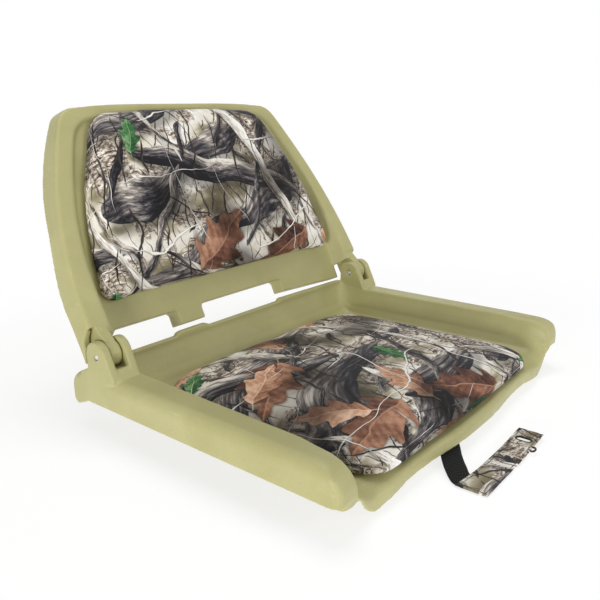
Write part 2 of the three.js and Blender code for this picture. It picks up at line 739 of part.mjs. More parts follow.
// Section from the outer edge (0) to the panel (reach), as a folded strip of sheet
function rimSection({ height, depth }, reach) {
  const wallRun = Math.min(recessRun, height * recessSlopeShare);
  const land = reach - wallRun;
  const under = height - shellWall;
  return [
    [-flangeDraft, -depth], [0, height - ridgeRadius], [ridgeRadius / 3, height - ridgeRadius / 3],
    [ridgeRadius, height], [land - ridgeRadius, height], [land, height - ridgeRadius / 3],
    [reach, 0], [reach + shellWall, -shellWall], [reach - wallRun / 2, -shellWall],
    [land - ridgeRadius, Math.max(under, -shellWall)], [shellWall, Math.max(under, -shellWall)],
    [shellWall - flangeDraft, -depth],
  ];
}

function rim() {
  const sections = rimOuter.map((outer, i) => {
    const across = rimInner[i].clone().sub(outer);
    const reach = across.length();
    across.normalize();
    return rimSection(rimSizesAt(outer.y), reach).map(([r, n]) => (
      new THREE.Vector3(outer.x + across.x * r, outer.y + across.y * r, n)));
  });
  const start = rimInner[0].distanceTo(rimOuter[0]);
  return solid(swept(sections, rimSection(rimSizesAt(rimEndHeight), start)));
}

function panelOutline(foot) {
  const edge = rimInner.filter((point) => point.y > foot).map((point) => [point.x, point.y]);
  return [[edge[0][0], foot], ...edge, [edge[edge.length - 1][0], foot]];
}

// Lower edge of the panel: a notch, a tab, a wide notch and a long tab, boxed out to the rear
function combOutline(wall, high) {
  const left = -clevisInner + combEndInset + wall;
  const right = clevisInner - seatingGap * 3 - wall;
  const ease = 2 * shellWall;
  const [foot, notch] = [tabFootHeight + wall, notchHeight + wall];
  const [tabLeft, tabRight, longTabLeft] = [firstTabStart + wall, firstTabEnd - wall, secondTabStart + wall];
  return [
    [left, high], [left, notch - ease], [left + ease, notch],
    [tabLeft - ease / 2, notch], [tabLeft, notch - ease / 2], [tabLeft, foot],
    [tabRight, foot], [tabRight, notch - ease / 2], [tabRight + ease / 2, notch],
    [longTabLeft - ease / 2, notch], [longTabLeft, notch - ease / 2], [longTabLeft, foot],
    [right, secondTabEndHeight + wall], [right, high],
  ];
}

function comb() {
  const outer = prismAlongZ(combOutline(0, notchHeight + 3 * shellWall), -combDepth, 0);
  const hollow = prismAlongZ(combOutline(shellWall, notchHeight + 4 * shellWall),
    -combDepth - cutOverrun, -shellWall);
  return outer.subtract(hollow);
}

// A side outline drawn in panel heights and depths, as [y, z] pairs
function sideOnPanel(points) {
  return points.map(([s, n]) => {
    const point = onPanel(0, s, n);
    return [point.y, point.z];
  });
}

// Hinge tongue between the two ears
function tongue() {
  const [front, frontHigh, rearHigh, rear] = sideOnPanel([
    [backTaperStart + ridgeRadius, lowerRimHeight - ribWall], [2.4 * backTaperStart, shellWall],
    [2 * backTaperStart, -2 * shellWall], [tabFootHeight, -shellWall],
  ]);
  const facing = Math.atan2(front[1] - pinZ, front[0] - pinY) + Math.PI / 2;
  const touch = [pinY + tongueRadius * Math.cos(facing), pinZ + tongueRadius * Math.sin(facing)];
  const outline = [touch, front, frontHigh, rearHigh, rear,
    [pinY + tongueRadius * 0.8, pinZ - tongueRadius * 0.5], [pinY, pinZ]];
  const arm = prismAlongX(outline, tongueInner, tongueOuter);
  const knuckle = rodAlongX(tongueRadius, tongueInner, tongueOuter, pinY, pinZ);
  const bore = rodAlongX(pinRadius + pinHoleClearance, tongueInner - cutOverrun, tongueOuter + cutOverrun,
    pinY, pinZ);
  return arm.add(knuckle).subtract(bore);
}

// Cheek that stiffens the lower end of the flange, behind the outer ear
function cheek() {
  const outline = sideOnPanel([
    [2 * backTaperStart, ridgeRadius], [rimBreakHeight, lowerRimHeight - ridgeRadius],
    [2 * rimEndHeight, ridgeRadius], [2 * rimEndHeight, -flangeDraft / 2],
    [2 * backTaperStart, -2 * shellWall],
  ]);
  const outer = backLowerHalfWidth - seatingGap;
  return prismAlongX(outline, outer - cheekThickness, outer);
}

// Ribs and bosses on the rear of the panel
const backScrewX = backLowerHalfWidth - backScrewSideInset;
const backScrewRows = [backCushionFoot + backScrewRise, backCushionTop - backScrewDrop];
const backScrewPlaces = pairs([-backScrewX, backScrewX], backScrewRows);

function backRibs() {
  const low = -shellWall - screwBossHeight;
  const pieces = [];
  for (const [x, s] of backScrewPlaces) {
    pieces.push(rodAlongZ(screwBossRadius, low, -shellWall / 2, x, s));
    pieces.push(rodAlongZ(screwBossRadius, -shellWall, standoffHeight, x, s));
  }
  const bar = (x0, x1, s0, s1) => prismAlongZ([[x0, s0], [x1, s0], [x1, s1], [x0, s1]], low, -shellWall / 2);
  for (const s of backScrewRows) {
    const reach = backHalfWidthAt(s) - recessFootInset;
    pieces.push(bar(-reach, reach, s - ribWall / 2, s + ribWall / 2));
  }
  for (const x of [-backScrewX, 0, backScrewX]) {
    const ribTop = backTopHeight - 2 * recessRun;
    pieces.push(bar(x - ribWall / 2, x + ribWall / 2, notchHeight + shellWall, ribTop));
  }
  const button = (radius, from, to) => rodAlongZ(radius, from, to, strapAnchorX,
    backTopHeight - buttonDrop);
  const headLow = low - buttonNeckLength - buttonHeadThickness;
  pieces.push(button(buttonNeckRadius, headLow + buttonHeadThickness / 2, -shellWall / 2));
  pieces.push(button(2 * buttonNeckRadius, low, -shellWall / 2));
  pieces.push(button(buttonHeadRadius, headLow, headLow + buttonHeadThickness));
  return joined(pieces);
}

function backShell() {
  const panel = prismAlongZ(panelOutline(notchHeight), -shellWall, 0);
  const belowBreak = prismAlongZ([
    [-tongueOuter, rimBreakHeight - 2 * backTaperStart], [tongueOuter, rimBreakHeight - 2 * backTaperStart],
    [tongueOuter, rimBreakHeight], [-tongueOuter, rimBreakHeight],
  ], -2 * flangeDepth, 2 * lowerRimHeight);
  const holes = backScrewPlaces.map(([x, s]) => rodAlongZ(screwRadius + seatingGap, -combDepth,
    2 * standoffHeight, x, s));
  const body = stoodUp(cutBy(joined([rim().subtract(belowBreak), panel, comb(), backRibs()]), holes));
  const sideTongue = tongue();
  const sideCheek = cheek();
  const reliefs = [
    rodAlongX(innerReliefRadius, clevisInner - 2 * ridgeRadius, tongueInner, pinY, pinZ, 40),
    block(clevisInner - tongueClearance / 2, tongueInner, pinY - innerReliefRadius, pinY + innerReliefRadius,
      railBottomHeight, pinZ),
    rodAlongX(outerReliefRadius, tongueOuter, halfWidth + cutOverrun, pinY - outerReliefOffset,
      pinZ + outerReliefRise, 40),
    block(tongueOuter, halfWidth + cutOverrun, pinY - outerReliefRadius, pinY + earRadius + cutOverrun,
      railBottomHeight, pinZ + outerReliefRise),
  ];
  const cheeked = joined([body, sideCheek, mirroredInX(sideCheek)]);
  const relieved = cutBy(cheeked, [...reliefs, ...reliefs.map(mirroredInX)]);
  return joined([relieved, sideTongue, mirroredInX(sideTongue)]);
}
addPiece("back_shell", backShell(), mouldedPlastic);

// Hinge pins
for (const [name, side] of [["hinge_pin_left", -1], ["hinge_pin_right", 1]]) {
  const ends = [side * (clevisInner + pinRecess), side * (halfWidth - pinRecess)].sort((a, b) => a - b);
  addPiece(name, rodAlongX(pinRadius, ends[0], ends[1], pinY, pinZ, 24), steel);
}

// Cushions: crowned pads whose sides roll in to a flat base, on their own local plane
function seatPadLoop(inset) {
  const half = seatCushionHalfWidth - inset;
  const [front, rear] = [-seatCushionFront + inset, seatCushionRear - inset];
  return padLoop([[half, front], [half, rear], [-half, rear], [-half, front]], inset,
    [seatFrontCorner, seatRearCorner], [cushionBow, cushionBow, cushionBow, cushionBow]);
}

function backPadLoop(inset) {
  const low = backCushionFoot + inset;
  const high = backCushionTop - inset;
  const wide = backHalfWidthAt(backCushionFoot) - backCushionInset - inset;
  const narrow = backHalfWidthAt(backCushionTop) - backCushionInset - inset;
  return padLoop([[wide, low], [narrow, high], [-narrow, high], [-wide, low]], inset,
    [backFootCorner, backTopCorner], [backCushionSideBow, cushionBow, backCushionSideBow, 0]);
}

// A closed loop with round corners and slightly bowed sides: low corners first, then high ones
function padLoop(corners, inset, reaches, bows) {
  const points = [];
  const arcSteps = 5;
  const sideSteps = 5;
  const reachAt = (i) => {
    const reach = i % 3 === 0 ? reaches[0] : reaches[1];
    return Math.max(reach - inset, reach / 4);
  };
  corners.forEach((cornerPoint, i) => {
    const next = (i + 1) % 4;
    const here = new THREE.Vector2(...cornerPoint);
    const before = new THREE.Vector2(...corners[(i + 3) % 4]).sub(here).normalize();
    const after = new THREE.Vector2(...corners[next]).sub(here).normalize();
    const start = here.clone().addScaledVector(before, reachAt(i));
    const end = here.clone().addScaledVector(after, reachAt(i));
    points.push(...new THREE.QuadraticBezierCurve(start, here, end).getPoints(arcSteps));
    const nextStart = new THREE.Vector2(...corners[next]).addScaledVector(after, -reachAt(next));
    const out = new THREE.Vector2(after.y, -after.x);
    for (let k = 1; k < sideSteps; k += 1) {
      const t = k / sideSteps;
      points.push(end.clone().lerp(nextStart, t).addScaledVector(out, bows[i] * 4 * t * (1 - t)));
    }
  });
  return points;
}

function padSolid({ loopAt, shares, halfDepth, base, height }, shrink) {
  const rings = shares.map(([insetShare, heightShare]) => {
    const z = base + shrink + heightShare * (height - 2 * shrink);
    return loopAt(insetShare * halfDepth + shrink).map((point) => new THREE.Vector3(point.x, point.y, z));
  });
  const outline = loopAt(0);
  const middle = new THREE.Vector2();
  outline.forEach((point) => middle.addScaledVector(point, 1 / outline.length));
  return solid(pillow(rings, new THREE.Vector3(middle.x, middle.y, base + shrink),
    new THREE.Vector3(middle.x, middle.y, base + height - shrink)));
}

function addCushion(prefix, pad, pose, screwPlaces) {
  const { loopAt, base, height } = pad;
  const add = (name, piece, material) => (
    addPiece(`${prefix}_${name}`, piece.transform(pose.elements), material));
  const slab = (inset, from, to) => (
    prismAlongZ(loopAt(inset).map((point) => [point.x, point.y]), from, to));
  const rodsThrough = (radius, from, to) => (
    screwPlaces.map(([x, y]) => rodAlongZ(radius, from, to, x, y, fastenerSides)));
  const boardLow = base + coverThickness + seatingGap;
  const boardHigh = boardLow + boardThickness;
  const nutTop = boardHigh + seatingGap + nutFlangeThickness;
  const opening = slab(coverTuck, base - cutOverrun, base + height / 3);
  const coverCuts = [opening, ...rodsThrough(screwRadius + seatingGap, base - cutOverrun, boardLow)];
  add("cover", cutBy(padSolid(pad, 0).subtract(padSolid(pad, coverThickness)), coverCuts), printedVinyl);
  const coarser = { ...pad, shares: pad.shares.filter((_, i) => i % 2 === 0) };
  const filling = padSolid(coarser, coverThickness + seatingGap);
  const board = filling.intersect(slab(0, boardLow - cutOverrun, boardHigh));
  const nutHoles = rodsThrough(nutBarrelRadius + seatingGap, boardLow - cutOverrun, boardHigh + cutOverrun);
  add("board", cutBy(board, nutHoles), plywood);
  const aboveBoard = filling.subtract(slab(-cutOverrun, boardLow - cutOverrun, boardHigh + seatingGap));
  const nutPockets = rodsThrough(nutFlangeRadius + seatingGap, boardHigh - cutOverrun, nutTop + seatingGap);
  add("foam", cutBy(aboveBoard, nutPockets), foam);
  const headTop = base - 2 * seatingGap - shellWall - screwBossHeight;
  screwPlaces.forEach(([x, y], i) => {
    const rod = (radius, from, to) => rodAlongZ(radius, from, to, x, y, fastenerSides);
    const nut = rod(nutFlangeRadius, nutTop - nutFlangeThickness, nutTop)
      .add(rod(nutBarrelRadius, nutTop - nutBarrelLength, nutTop - nutFlangeThickness / 2));
    const nutBore = rod(screwRadius + seatingGap, boardLow - cutOverrun, nutTop + cutOverrun);
    add(`nut_${i + 1}`, nut.subtract(nutBore), steel);
    const screw = rod(screwHeadRadius, headTop - screwHeadHeight, headTop)
      .add(rod(screwRadius, headTop - screwHeadHeight / 2, boardHigh));
    add(`screw_${i + 1}`, screw, steel);
  });
}

addCushion("seat_cushion", {
  loopAt: seatPadLoop,
  shares: seatPillowShares,
  halfDepth: (seatCushionFront + seatCushionRear) / 2,
  base: panFloorHeight + seatingGap,
  height: seatCushionHeight,
}, new THREE.Matrix4(), seatScrewPlaces);
addCushion("back_cushion", {
  loopAt: backPadLoop,
  shares: backPillowShares,
  halfDepth: (backCushionTop - backCushionFoot) / 2,
  base: seatingGap,
  height: backCushionHeight,
}, panelAxes, backScrewPlaces);

// Threaded inserts on the 127 mm square pattern
insertPlaces.forEach(([x, y], i) => {
  const body = rodAlongZ(insertRadius, seatingGap, insertLength, x, y);
  const bore = rodAlongZ(insertBoreRadius, -cutOverrun, insertLength + cutOverrun, x, y);
  addPiece(`mounting_insert_${i + 1}`, body.subtract(bore), brass);
});

// Strap: webbing from under the front lip, a printed sleeve lying beside it, and its loop
const strapTop = panFloorHeight - shellWall - strapBossHeight - seatingGap;
const webbingRoute = [
  // left edge x, right edge x, y, height of the upper face
  [-54, -24, -131, strapTop], [-56, -25, -142, strapTop], [-60, -28, -152.8, strapTop],
  [-63, -31, -156.2, 12], [-66, -34, -159, 9.4], [-72, -40, -164.5, 7.6], [-78, -48, -170.5, 5.6],
  [-85, -57, -178, 3.4], [-90, -65, -184, 2.3], [-95, -72, -189.7, webbingThickness + floorGap],
];
const webbingRows = webbingRoute.map(([left, right, y, z]) => [0, 0.5, 1]
  .map((t) => new THREE.Vector3(left + (right - left) * t, y, z)));
const anchorY = railFrontY + strapAnchorSetback;
const webbingHole = rodAlongZ(screwRadius + 2 * seatingGap, 0, railBottomHeight, strapAnchorX, anchorY);
addPiece("strap_webbing", solid(sheet(webbingRows, webbingThickness)).subtract(webbingHole), blackWebbing);

const sleeveFront = -sleeveBack - webbingWidth;
const slotHoleX = sleeveLeft + sleeveLength - slotHoleInset;
const slotHoleY = (sleeveFront - sleeveBack) / 2;
const sleeveTop = floorGap + sleeveThickness;
const sleeve = block(sleeveLeft, sleeveLeft + sleeveLength, sleeveFront, -sleeveBack, floorGap, sleeveTop);
const slotHole = block(slotHoleX - slotHoleWidth / 2, slotHoleX + slotHoleWidth / 2,
  slotHoleY - slotHoleLength / 2, slotHoleY + slotHoleLength / 2, -cutOverrun, sleeveTop + cutOverrun);
addPiece("strap_sleeve", sleeve.subtract(slotHole), printedVinyl);

const loopX = sleeveLeft + sleeveLength - loopInset - loopLength / 2;
const loopY = sleeveFront - seatingGap - loopWidth / 2;
function stadium(reach, radius) {
  return [...arc(loopX + reach, loopY, radius, -90, 90, 8), ...arc(loopX - reach, loopY, radius, 90, 270, 8)];
}
const loopReach = (loopLength - loopWidth) / 2;
const loopTop = floorGap + loopCord;
const loopEye = prismAlongZ(stadium(loopReach, loopWidth / 2 - loopCord), -cutOverrun, loopTop + cutOverrun);
const loopBody = prismAlongZ(stadium(loopReach, loopWidth / 2), floorGap, loopTop);
addPiece("strap_loop", loopBody.subtract(loopEye), blackWebbing);

const washerTop = strapTop - webbingThickness - seatingGap;
const washer = rodAlongZ(washerRadius, washerTop - washerThickness, washerTop, strapAnchorX, anchorY)
  .subtract(rodAlongZ(screwRadius + seatingGap, 0, railBottomHeight, strapAnchorX, anchorY));
addPiece("strap_washer", washer, steel);
const strapHeadTop = washerTop - washerThickness - seatingGap;
const strapShankTop = panFloorHeight - shellWall - seatingGap;
const strapHeadLow = strapHeadTop - screwHeadHeight;
const strapHead = rodAlongZ(screwHeadRadius, strapHeadLow, strapHeadTop, strapAnchorX, anchorY);
const strapShank = rodAlongZ(screwRadius, strapHeadTop - seatingGap, strapShankTop, strapAnchorX, anchorY);
addPiece("strap_screw", strapHead.add(strapShank), steel);

export default part;
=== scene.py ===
# %% [markdown]
# # A folding boat seat, dressed for a photograph
#
# The rigid model of the seat is already packed: two moulded shells, their hinge pins, the
# cushions' solids, screws, inserts and a hold-down strap. This notebook loads it and gives
# every surface its finish. Cushions are made again as simulated cloth, the strap as woven
# webbing in a sewn sleeve, and the shells as smooth mouldings with rounded edges.

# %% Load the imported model
import math
import bmesh
import bpy
import numpy as np
from mathutils import Matrix, Vector, noise


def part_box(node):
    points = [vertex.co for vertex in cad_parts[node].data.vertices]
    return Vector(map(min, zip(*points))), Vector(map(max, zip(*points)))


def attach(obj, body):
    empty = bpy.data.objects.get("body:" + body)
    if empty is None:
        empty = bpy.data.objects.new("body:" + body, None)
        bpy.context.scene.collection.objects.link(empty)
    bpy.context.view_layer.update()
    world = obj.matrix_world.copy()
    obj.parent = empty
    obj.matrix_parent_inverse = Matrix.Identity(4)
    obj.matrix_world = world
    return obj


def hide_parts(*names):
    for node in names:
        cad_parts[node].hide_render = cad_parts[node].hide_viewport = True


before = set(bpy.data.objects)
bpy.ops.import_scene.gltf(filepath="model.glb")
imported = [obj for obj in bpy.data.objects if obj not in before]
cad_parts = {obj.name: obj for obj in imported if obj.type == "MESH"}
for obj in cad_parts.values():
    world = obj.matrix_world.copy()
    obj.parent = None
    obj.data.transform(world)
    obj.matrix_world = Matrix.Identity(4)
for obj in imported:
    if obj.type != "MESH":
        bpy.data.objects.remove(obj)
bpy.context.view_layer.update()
MM = 0.001

# %% [markdown]
# ## The camera
#
# A camera is a place, a direction and a focal length. These come from lines of the seat that
# are parallel or square to each other in the photograph. A matrix with the camera's own
# right, up and backward axes as columns turns it, with no angles to convert.

# %% Camera at the photograph's angle
CAMERA_PLACE = Vector((-570.4, -406.4, 317.1)) * MM
YAW, PITCH, ROLL = (math.radians(a) for a in (50.56, -16.29, -0.74))
LENS, SENSOR = 39.83, 36

forward = Vector((math.sin(YAW) * math.cos(PITCH), math.cos(YAW) * math.cos(PITCH), math.sin(PITCH)))
level = Vector((math.cos(YAW), -math.sin(YAW), 0))
upright = level.cross(forward)
right = level * math.cos(ROLL) + upright * math.sin(ROLL)
up = upright * math.cos(ROLL) - level * math.sin(ROLL)
camera = bpy.data.objects.new("camera", bpy.data.cameras.new("camera"))
bpy.context.scene.collection.objects.link(camera)
camera.data.lens, camera.data.sensor_width = LENS, SENSOR
camera.data.clip_start, camera.data.clip_end = 10 * MM, 20
turn = Matrix((right, up, -forward)).transposed().to_4x4()
camera.matrix_world = Matrix.Translation(CAMERA_PLACE) @ turn
bpy.context.scene.camera = camera
print("camera at", [round(v, 3) for v in CAMERA_PLACE])

# %% [markdown]
# ## Helpers for meshes
#
# Most pieces are lists of points joined by faces. One helper turns such a list into an object
# whose origin stays at zero, so that a pattern on object coordinates keeps its place.

# %% Mesh helpers
def new_object(name, points, faces, smooth=True):
    mesh = bpy.data.meshes.new(name)
    mesh.from_pydata([tuple(p) for p in points], [], faces)
    mesh.validate()
    made = bpy.data.objects.new(name, mesh)
    bpy.context.scene.collection.objects.link(made)
    mesh.polygons.foreach_set("use_smooth", [smooth] * len(mesh.polygons))
    return made


def edit_mesh(mesh, work):
    """Opens a mesh, lets work change it, and writes it back."""
    bm = bmesh.new()
    bm.from_mesh(mesh)
    work(bm)
    bm.to_mesh(mesh)
    bm.free()


def applied(made):
    """Replaces an object's mesh by the one that its modifiers give."""
    depsgraph = bpy.context.evaluated_depsgraph_get()
    mesh = bpy.data.meshes.new_from_object(made.evaluated_get(depsgraph))
    made.modifiers.clear()
    made.data = mesh
    return made


def outward(bm):
    bmesh.ops.recalc_face_normals(bm, faces=bm.faces)


def points_of(mesh):
    places = np.zeros(len(mesh.vertices) * 3)
    mesh.vertices.foreach_get("co", places)
    return places.reshape(-1, 3)


def move_points(mesh, places):
    mesh.vertices.foreach_set("co", np.asarray(places, float).ravel())
    mesh.update()


def normals_of(mesh):
    normals = np.zeros(len(mesh.vertices) * 3)
    mesh.vertices.foreach_get("normal", normals)
    return normals.reshape(-1, 3)


def with_flat(made, flat):
    """Gives a mesh its flat coordinates in metres, one pair for each point."""
    layer = made.data.uv_layers.new(name="print")
    corners = np.zeros(len(made.data.loops), int)
    made.data.loops.foreach_get("vertex_index", corners)
    layer.data.foreach_set("uv", np.asarray(flat, float)[corners].ravel())


def all_smooth(made):
    made.data.polygons.foreach_set("use_smooth", [True] * len(made.data.polygons))


def settled(made, rounds, back=0.0, share=None):
    """Moves each point towards the middle of its neighbours, then swells back by a share of that."""
    ends = np.zeros(len(made.data.edges) * 2, int)
    made.data.edges.foreach_get("vertices", ends)
    a, b = ends[0::2], ends[1::2]
    places = points_of(made.data)
    count = np.maximum(np.bincount(ends, minlength=len(places)), 1)
    if share is None:
        share = np.ones(len(places))
    moving = (share[a] > 0) | (share[b] > 0)
    a, b = a[moving], b[moving]
    for factor in [0.5] * rounds if not back else [0.5, -back] * rounds:
        for k in range(3):
            line = places[:, k].copy()
            sums = np.bincount(a, line[b], len(places)) + np.bincount(b, line[a], len(places))
            places[:, k] += factor * share * (sums / count - line)
    move_points(made.data, places)


def cut_out(made, outline, low, high):
    """Cuts an upright prism with the given outline, from height low to height high, out of a mesh."""
    n = len(outline)
    sides = [(i, (i + 1) % n, n + (i + 1) % n, n + i) for i in range(n)]
    prism = new_object("prism", [(x, y, z) for z in (low, high) for x, y in outline],
                       [tuple(range(n)), tuple(range(n, 2 * n)), *sides], smooth=False)
    edit_mesh(prism.data, outward)
    cut = made.modifiers.new("cut", "BOOLEAN")
    cut.object, cut.operation, cut.solver = prism, "DIFFERENCE", "EXACT"
    applied(made)
    bpy.data.objects.remove(prism)


def even_skin(made, voxel):
    """Remeshes a closed mesh into even squares."""
    even = made.modifiers.new("even", "REMESH")
    even.mode, even.voxel_size, even.use_smooth_shade = "VOXEL", voxel, True
    return applied(made)


def sharp_skin(made, cell):
    """Remeshes a closed mesh into even squares whose points also follow its sharp edges."""
    even = made.modifiers.new("even", "REMESH")
    even.mode, even.octree_depth, even.use_remove_disconnected = "SHARP", 9, False
    even.scale = max(made.dimensions) / (2 ** even.octree_depth * cell)
    return applied(made)


def lathe(name, profile, sides=32):
    """A closed turned piece about Z, from (radius, height) pairs that start and end on the axis."""
    points = [(0, 0, profile[0][1])]
    for radius, height in profile[1:-1]:
        points += [(radius * math.cos(a), radius * math.sin(a), height)
                   for a in (2 * math.pi * k / sides for k in range(sides))]
    points.append((0, 0, profile[-1][1]))
    rings, last = len(profile) - 2, len(points) - 1
    faces = [(0, 1 + (k + 1) % sides, 1 + k) for k in range(sides)]
    for r in range(rings - 1):
        first = 1 + r * sides
        faces += [(first + k, first + (k + 1) % sides, first + sides + (k + 1) % sides, first + sides + k)
                  for k in range(sides)]
    first = 1 + (rings - 1) * sides
    faces += [(last, first + k, first + (k + 1) % sides) for k in range(sides)]
    made = new_object(name, points, faces)
    edit_mesh(made.data, outward)
    made.data.set_sharp_from_angle(angle=math.radians(50))
    return made


# %% [markdown]
# ## Helpers for materials
#
# Every material here is made of nodes. The helper adds one node, sets its properties, and
# either fills or links its inputs. Colours are written as the hex values that a picture
# shows, and are turned into the linear values that a renderer works with.

# %% Material helpers
def colour(code):
    """The linear colour of an sRGB hex code."""
    parts = [int(code[i:i + 2], 16) / 255 for i in (1, 3, 5)]
    return (*((p / 12.92 if p <= 0.04045 else ((p + 0.055) / 1.055) ** 2.4) for p in parts), 1)


def add_node(tree, kind, inputs=None, **settings):
    node = tree.nodes.new(kind if "Node" in kind else "ShaderNode" + kind)
    for name, value in settings.items():
        setattr(node, name, value)
    for name, value in (inputs or {}).items():
        if isinstance(value, bpy.types.NodeSocket):
            tree.links.new(value, node.inputs[name])
        else:
            node.inputs[name].default_value = value
    return node


def maths(tree, operation, a, b=0.5, c=0.5):
    return add_node(tree, "Math", {0: a, 1: b, 2: c}, operation=operation).outputs[0]


def mixed(tree, factor, a, b, blend_type="MIX"):
    node = add_node(tree, "Mix", {0: factor, 6: a, 7: b}, data_type="RGBA", blend_type=blend_type)
    return node.outputs[2]


def band(tree, value, low, high):
    """0 below low, 1 above high, and a smooth step between."""
    return add_node(tree, "MapRange", {"Value": value, "From Min": low, "From Max": high},
                    interpolation_type="SMOOTHSTEP").outputs[0]


def ramp(tree, value, stops):
    node = add_node(tree, "ValToRGB", {"Fac": value})
    elements = node.color_ramp.elements
    elements.remove(elements[1])
    elements[0].position = stops[0][0]
    elements[0].color = colour(stops[0][1])
    for place, code in stops[1:]:
        elements.new(place).color = colour(code)
    return node.outputs[0]


def speckle(tree, place, size, detail=4, roughness=0.55, distortion=0):
    """Noise whose blobs are about size metres across."""
    return add_node(tree, "TexNoise", {"Vector": place, "Scale": 1 / size, "Detail": detail,
                                       "Roughness": roughness, "Distortion": distortion}).outputs[0]


def new_material(name, shader_values):
    """A material with one Principled shader, whose uniform values are set on its own sockets."""
    material = bpy.data.materials.new(name)
    material.use_nodes = True
    tree = material.node_tree
    shader = tree.nodes["Principled BSDF"]
    for socket, value in shader_values.items():
        shader.inputs[socket].default_value = value
    return material, tree, shader


def bump(tree, shader, height, distance, strength=1.0):
    node = add_node(tree, "Bump", {"Height": height, "Distance": distance, "Strength": strength})
    tree.links.new(node.outputs[0], shader.inputs["Normal"])


def textured(tree, shader, pattern, stops, rough, relief, strength):
    """One pattern that drives the colour, the roughness from one value to another, and the relief."""
    tree.links.new(ramp(tree, pattern, stops), shader.inputs["Base Color"])
    roughness = add_node(tree, "MapRange", {"Value": pattern, "To Min": rough[0], "To Max": rough[1]})
    tree.links.new(roughness.outputs[0], shader.inputs["Roughness"])
    bump(tree, shader, pattern, relief, strength)


def object_place(tree):
    return add_node(tree, "TexCoord").outputs["Object"]


def stretched(tree, place, scale):
    return add_node(tree, "Mapping", {"Vector": place, "Scale": scale}).outputs[0]


def dress(made, material):
    made.data.materials.clear()
    made.data.materials.append(material)


def hand_over(made, material, body, slot, *replaced):
    """Dresses a finished piece, hangs it on its body's empty, and hides the nodes that it stands for."""
    dress(made, material)
    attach(made, body)
    if replaced:
        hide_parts(*replaced)


# %% [markdown]
# ## The strap's route
#
# The webbing is screwed under the pan's front, slips out below the lip, comes down to the
# ground and turns into a printed sleeve, where it ends short of the buttonhole. A strap lies
# where it falls, so the route is a short list of given points: left edge, right edge, and
# the upper face's height. The corner where it turns into the sleeve is eased.

# %% Route of the webbing
def softened(line, count, rounds=6):
    """A polyline with count even points, and its corners eased."""
    line = np.asarray(line, float)
    run = np.concatenate([[0], np.cumsum(np.linalg.norm(np.diff(line, axis=0), axis=1))])
    even = np.stack([np.interp(np.linspace(0, run[-1], count), run, line[:, k]) for k in range(3)], 1)
    for _ in range(rounds):
        even[1:-1] = (even[:-2] + 2 * even[1:-1] + even[2:]) / 4
    return even


WEBBING_WIDTH, WEBBING_THICKNESS = 25 * MM, 1.6 * MM
WEBBING_ROUTE = [
    # left x, right x, y and height of the upper face, in mm, and how far the right edge lies forward
    (-54, -24, -131, 16.7, 0), (-56, -25, -142, 16.7, 0), (-60, -27, -152.8, 16.7, 0),
    (-64, -30, -156.2, 12, 1), (-68, -35, -159, 9.4, 2), (-75, -43, -164.5, 7.6, 3),
    (-82, -52, -170.5, 5.6, 3), (-90, -60, -178, 3.4, 2), (-96, -66, -184, 2.6, 1),
    (-97.5, -72, -188.5, 2.2, 0),
]
sleeve_low, sleeve_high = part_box("strap_sleeve")
sleeve_middle = (sleeve_low + sleeve_high) / 2
strap_path = [Vector(((left + right_x) / 2, y, z)) * MM - Vector((0, 0, WEBBING_THICKNESS / 2))
              for left, right_x, y, z, _ in WEBBING_ROUTE]
turn_in = Vector((sleeve_low.x + WEBBING_WIDTH / 2, sleeve_middle.y, sleeve_middle.z))
INNER_END = 4 * MM
strap_path += [Vector((x, turn_in.y, turn_in.z)) for x in np.linspace(turn_in.x, INNER_END, 12)]
strap_path = [Vector(p) for p in softened(strap_path, 48, rounds=4)]

# %% [markdown]
# ## Moulded polyethylene
#
# Both shells are moulded in one khaki plastic. It is satin, and a close look shows a fine
# grain, faint flow marks and shallow sink marks where a rib meets the wall from behind.
# Large soft noise gives the flow, fine noise gives the grain, and a row of narrow bands at
# the ribs' pitch gives the sink marks. All of it reads object coordinates, in metres.

# %% Moulded polyethylene
RIB_PITCH, FIRST_RIB = 52 * MM, -108 * MM


def moulded_polyethylene():
    material, tree, shader = new_material("moulded_polyethylene", {
        "Specular IOR Level": 0.3, "IOR": 1.5})
    place = object_place(tree)
    flow = speckle(tree, place, 60 * MM, detail=3, distortion=0.6)
    tint = ramp(tree, flow, [(0.3, "#aba673"), (0.5, "#b0ab79"), (0.7, "#b5b07e")])
    grain = speckle(tree, place, 0.9 * MM, detail=2)
    fine = ramp(tree, grain, [(0.3, "#f2f2ee"), (0.7, "#ffffff")])
    scuffs = speckle(tree, stretched(tree, place, (1, 0.12, 1)), 5 * MM, detail=5, roughness=0.7)
    clean = mixed(tree, 1.0, tint, fine, "MULTIPLY")
    worn = mixed(tree, band(tree, scuffs, 0.62, 0.8), clean, colour("#c1bd90"))
    tree.links.new(worn, shader.inputs["Base Color"])
    rough = add_node(tree, "MapRange", {"Value": scuffs, "From Min": 0.3, "From Max": 0.75,
                                        "To Min": 0.44, "To Max": 0.33}).outputs[0]
    tree.links.new(rough, shader.inputs["Roughness"])
    axes = add_node(tree, "SeparateXYZ", {"Vector": place})
    from_rib = maths(tree, "PINGPONG", maths(tree, "SUBTRACT", axes.outputs[1], FIRST_RIB), RIB_PITCH / 2)
    on_rail = band(tree, maths(tree, "ABSOLUTE", axes.outputs[0]), 189 * MM, 193 * MM)
    sink = maths(tree, "MULTIPLY", band(tree, from_rib, 2.4 * MM, 0.4 * MM), on_rail)
    texture = maths(tree, "MULTIPLY_ADD", grain, 0.35, maths(tree, "MULTIPLY", flow, 0.8))
    bump(tree, shader, maths(tree, "SUBTRACT", texture, maths(tree, "MULTIPLY", sink, 0.55)), 0.09 * MM)
    return material


polyethylene = moulded_polyethylene()
print("material:", polyethylene.name, "with", len(polyethylene.node_tree.nodes), "nodes")

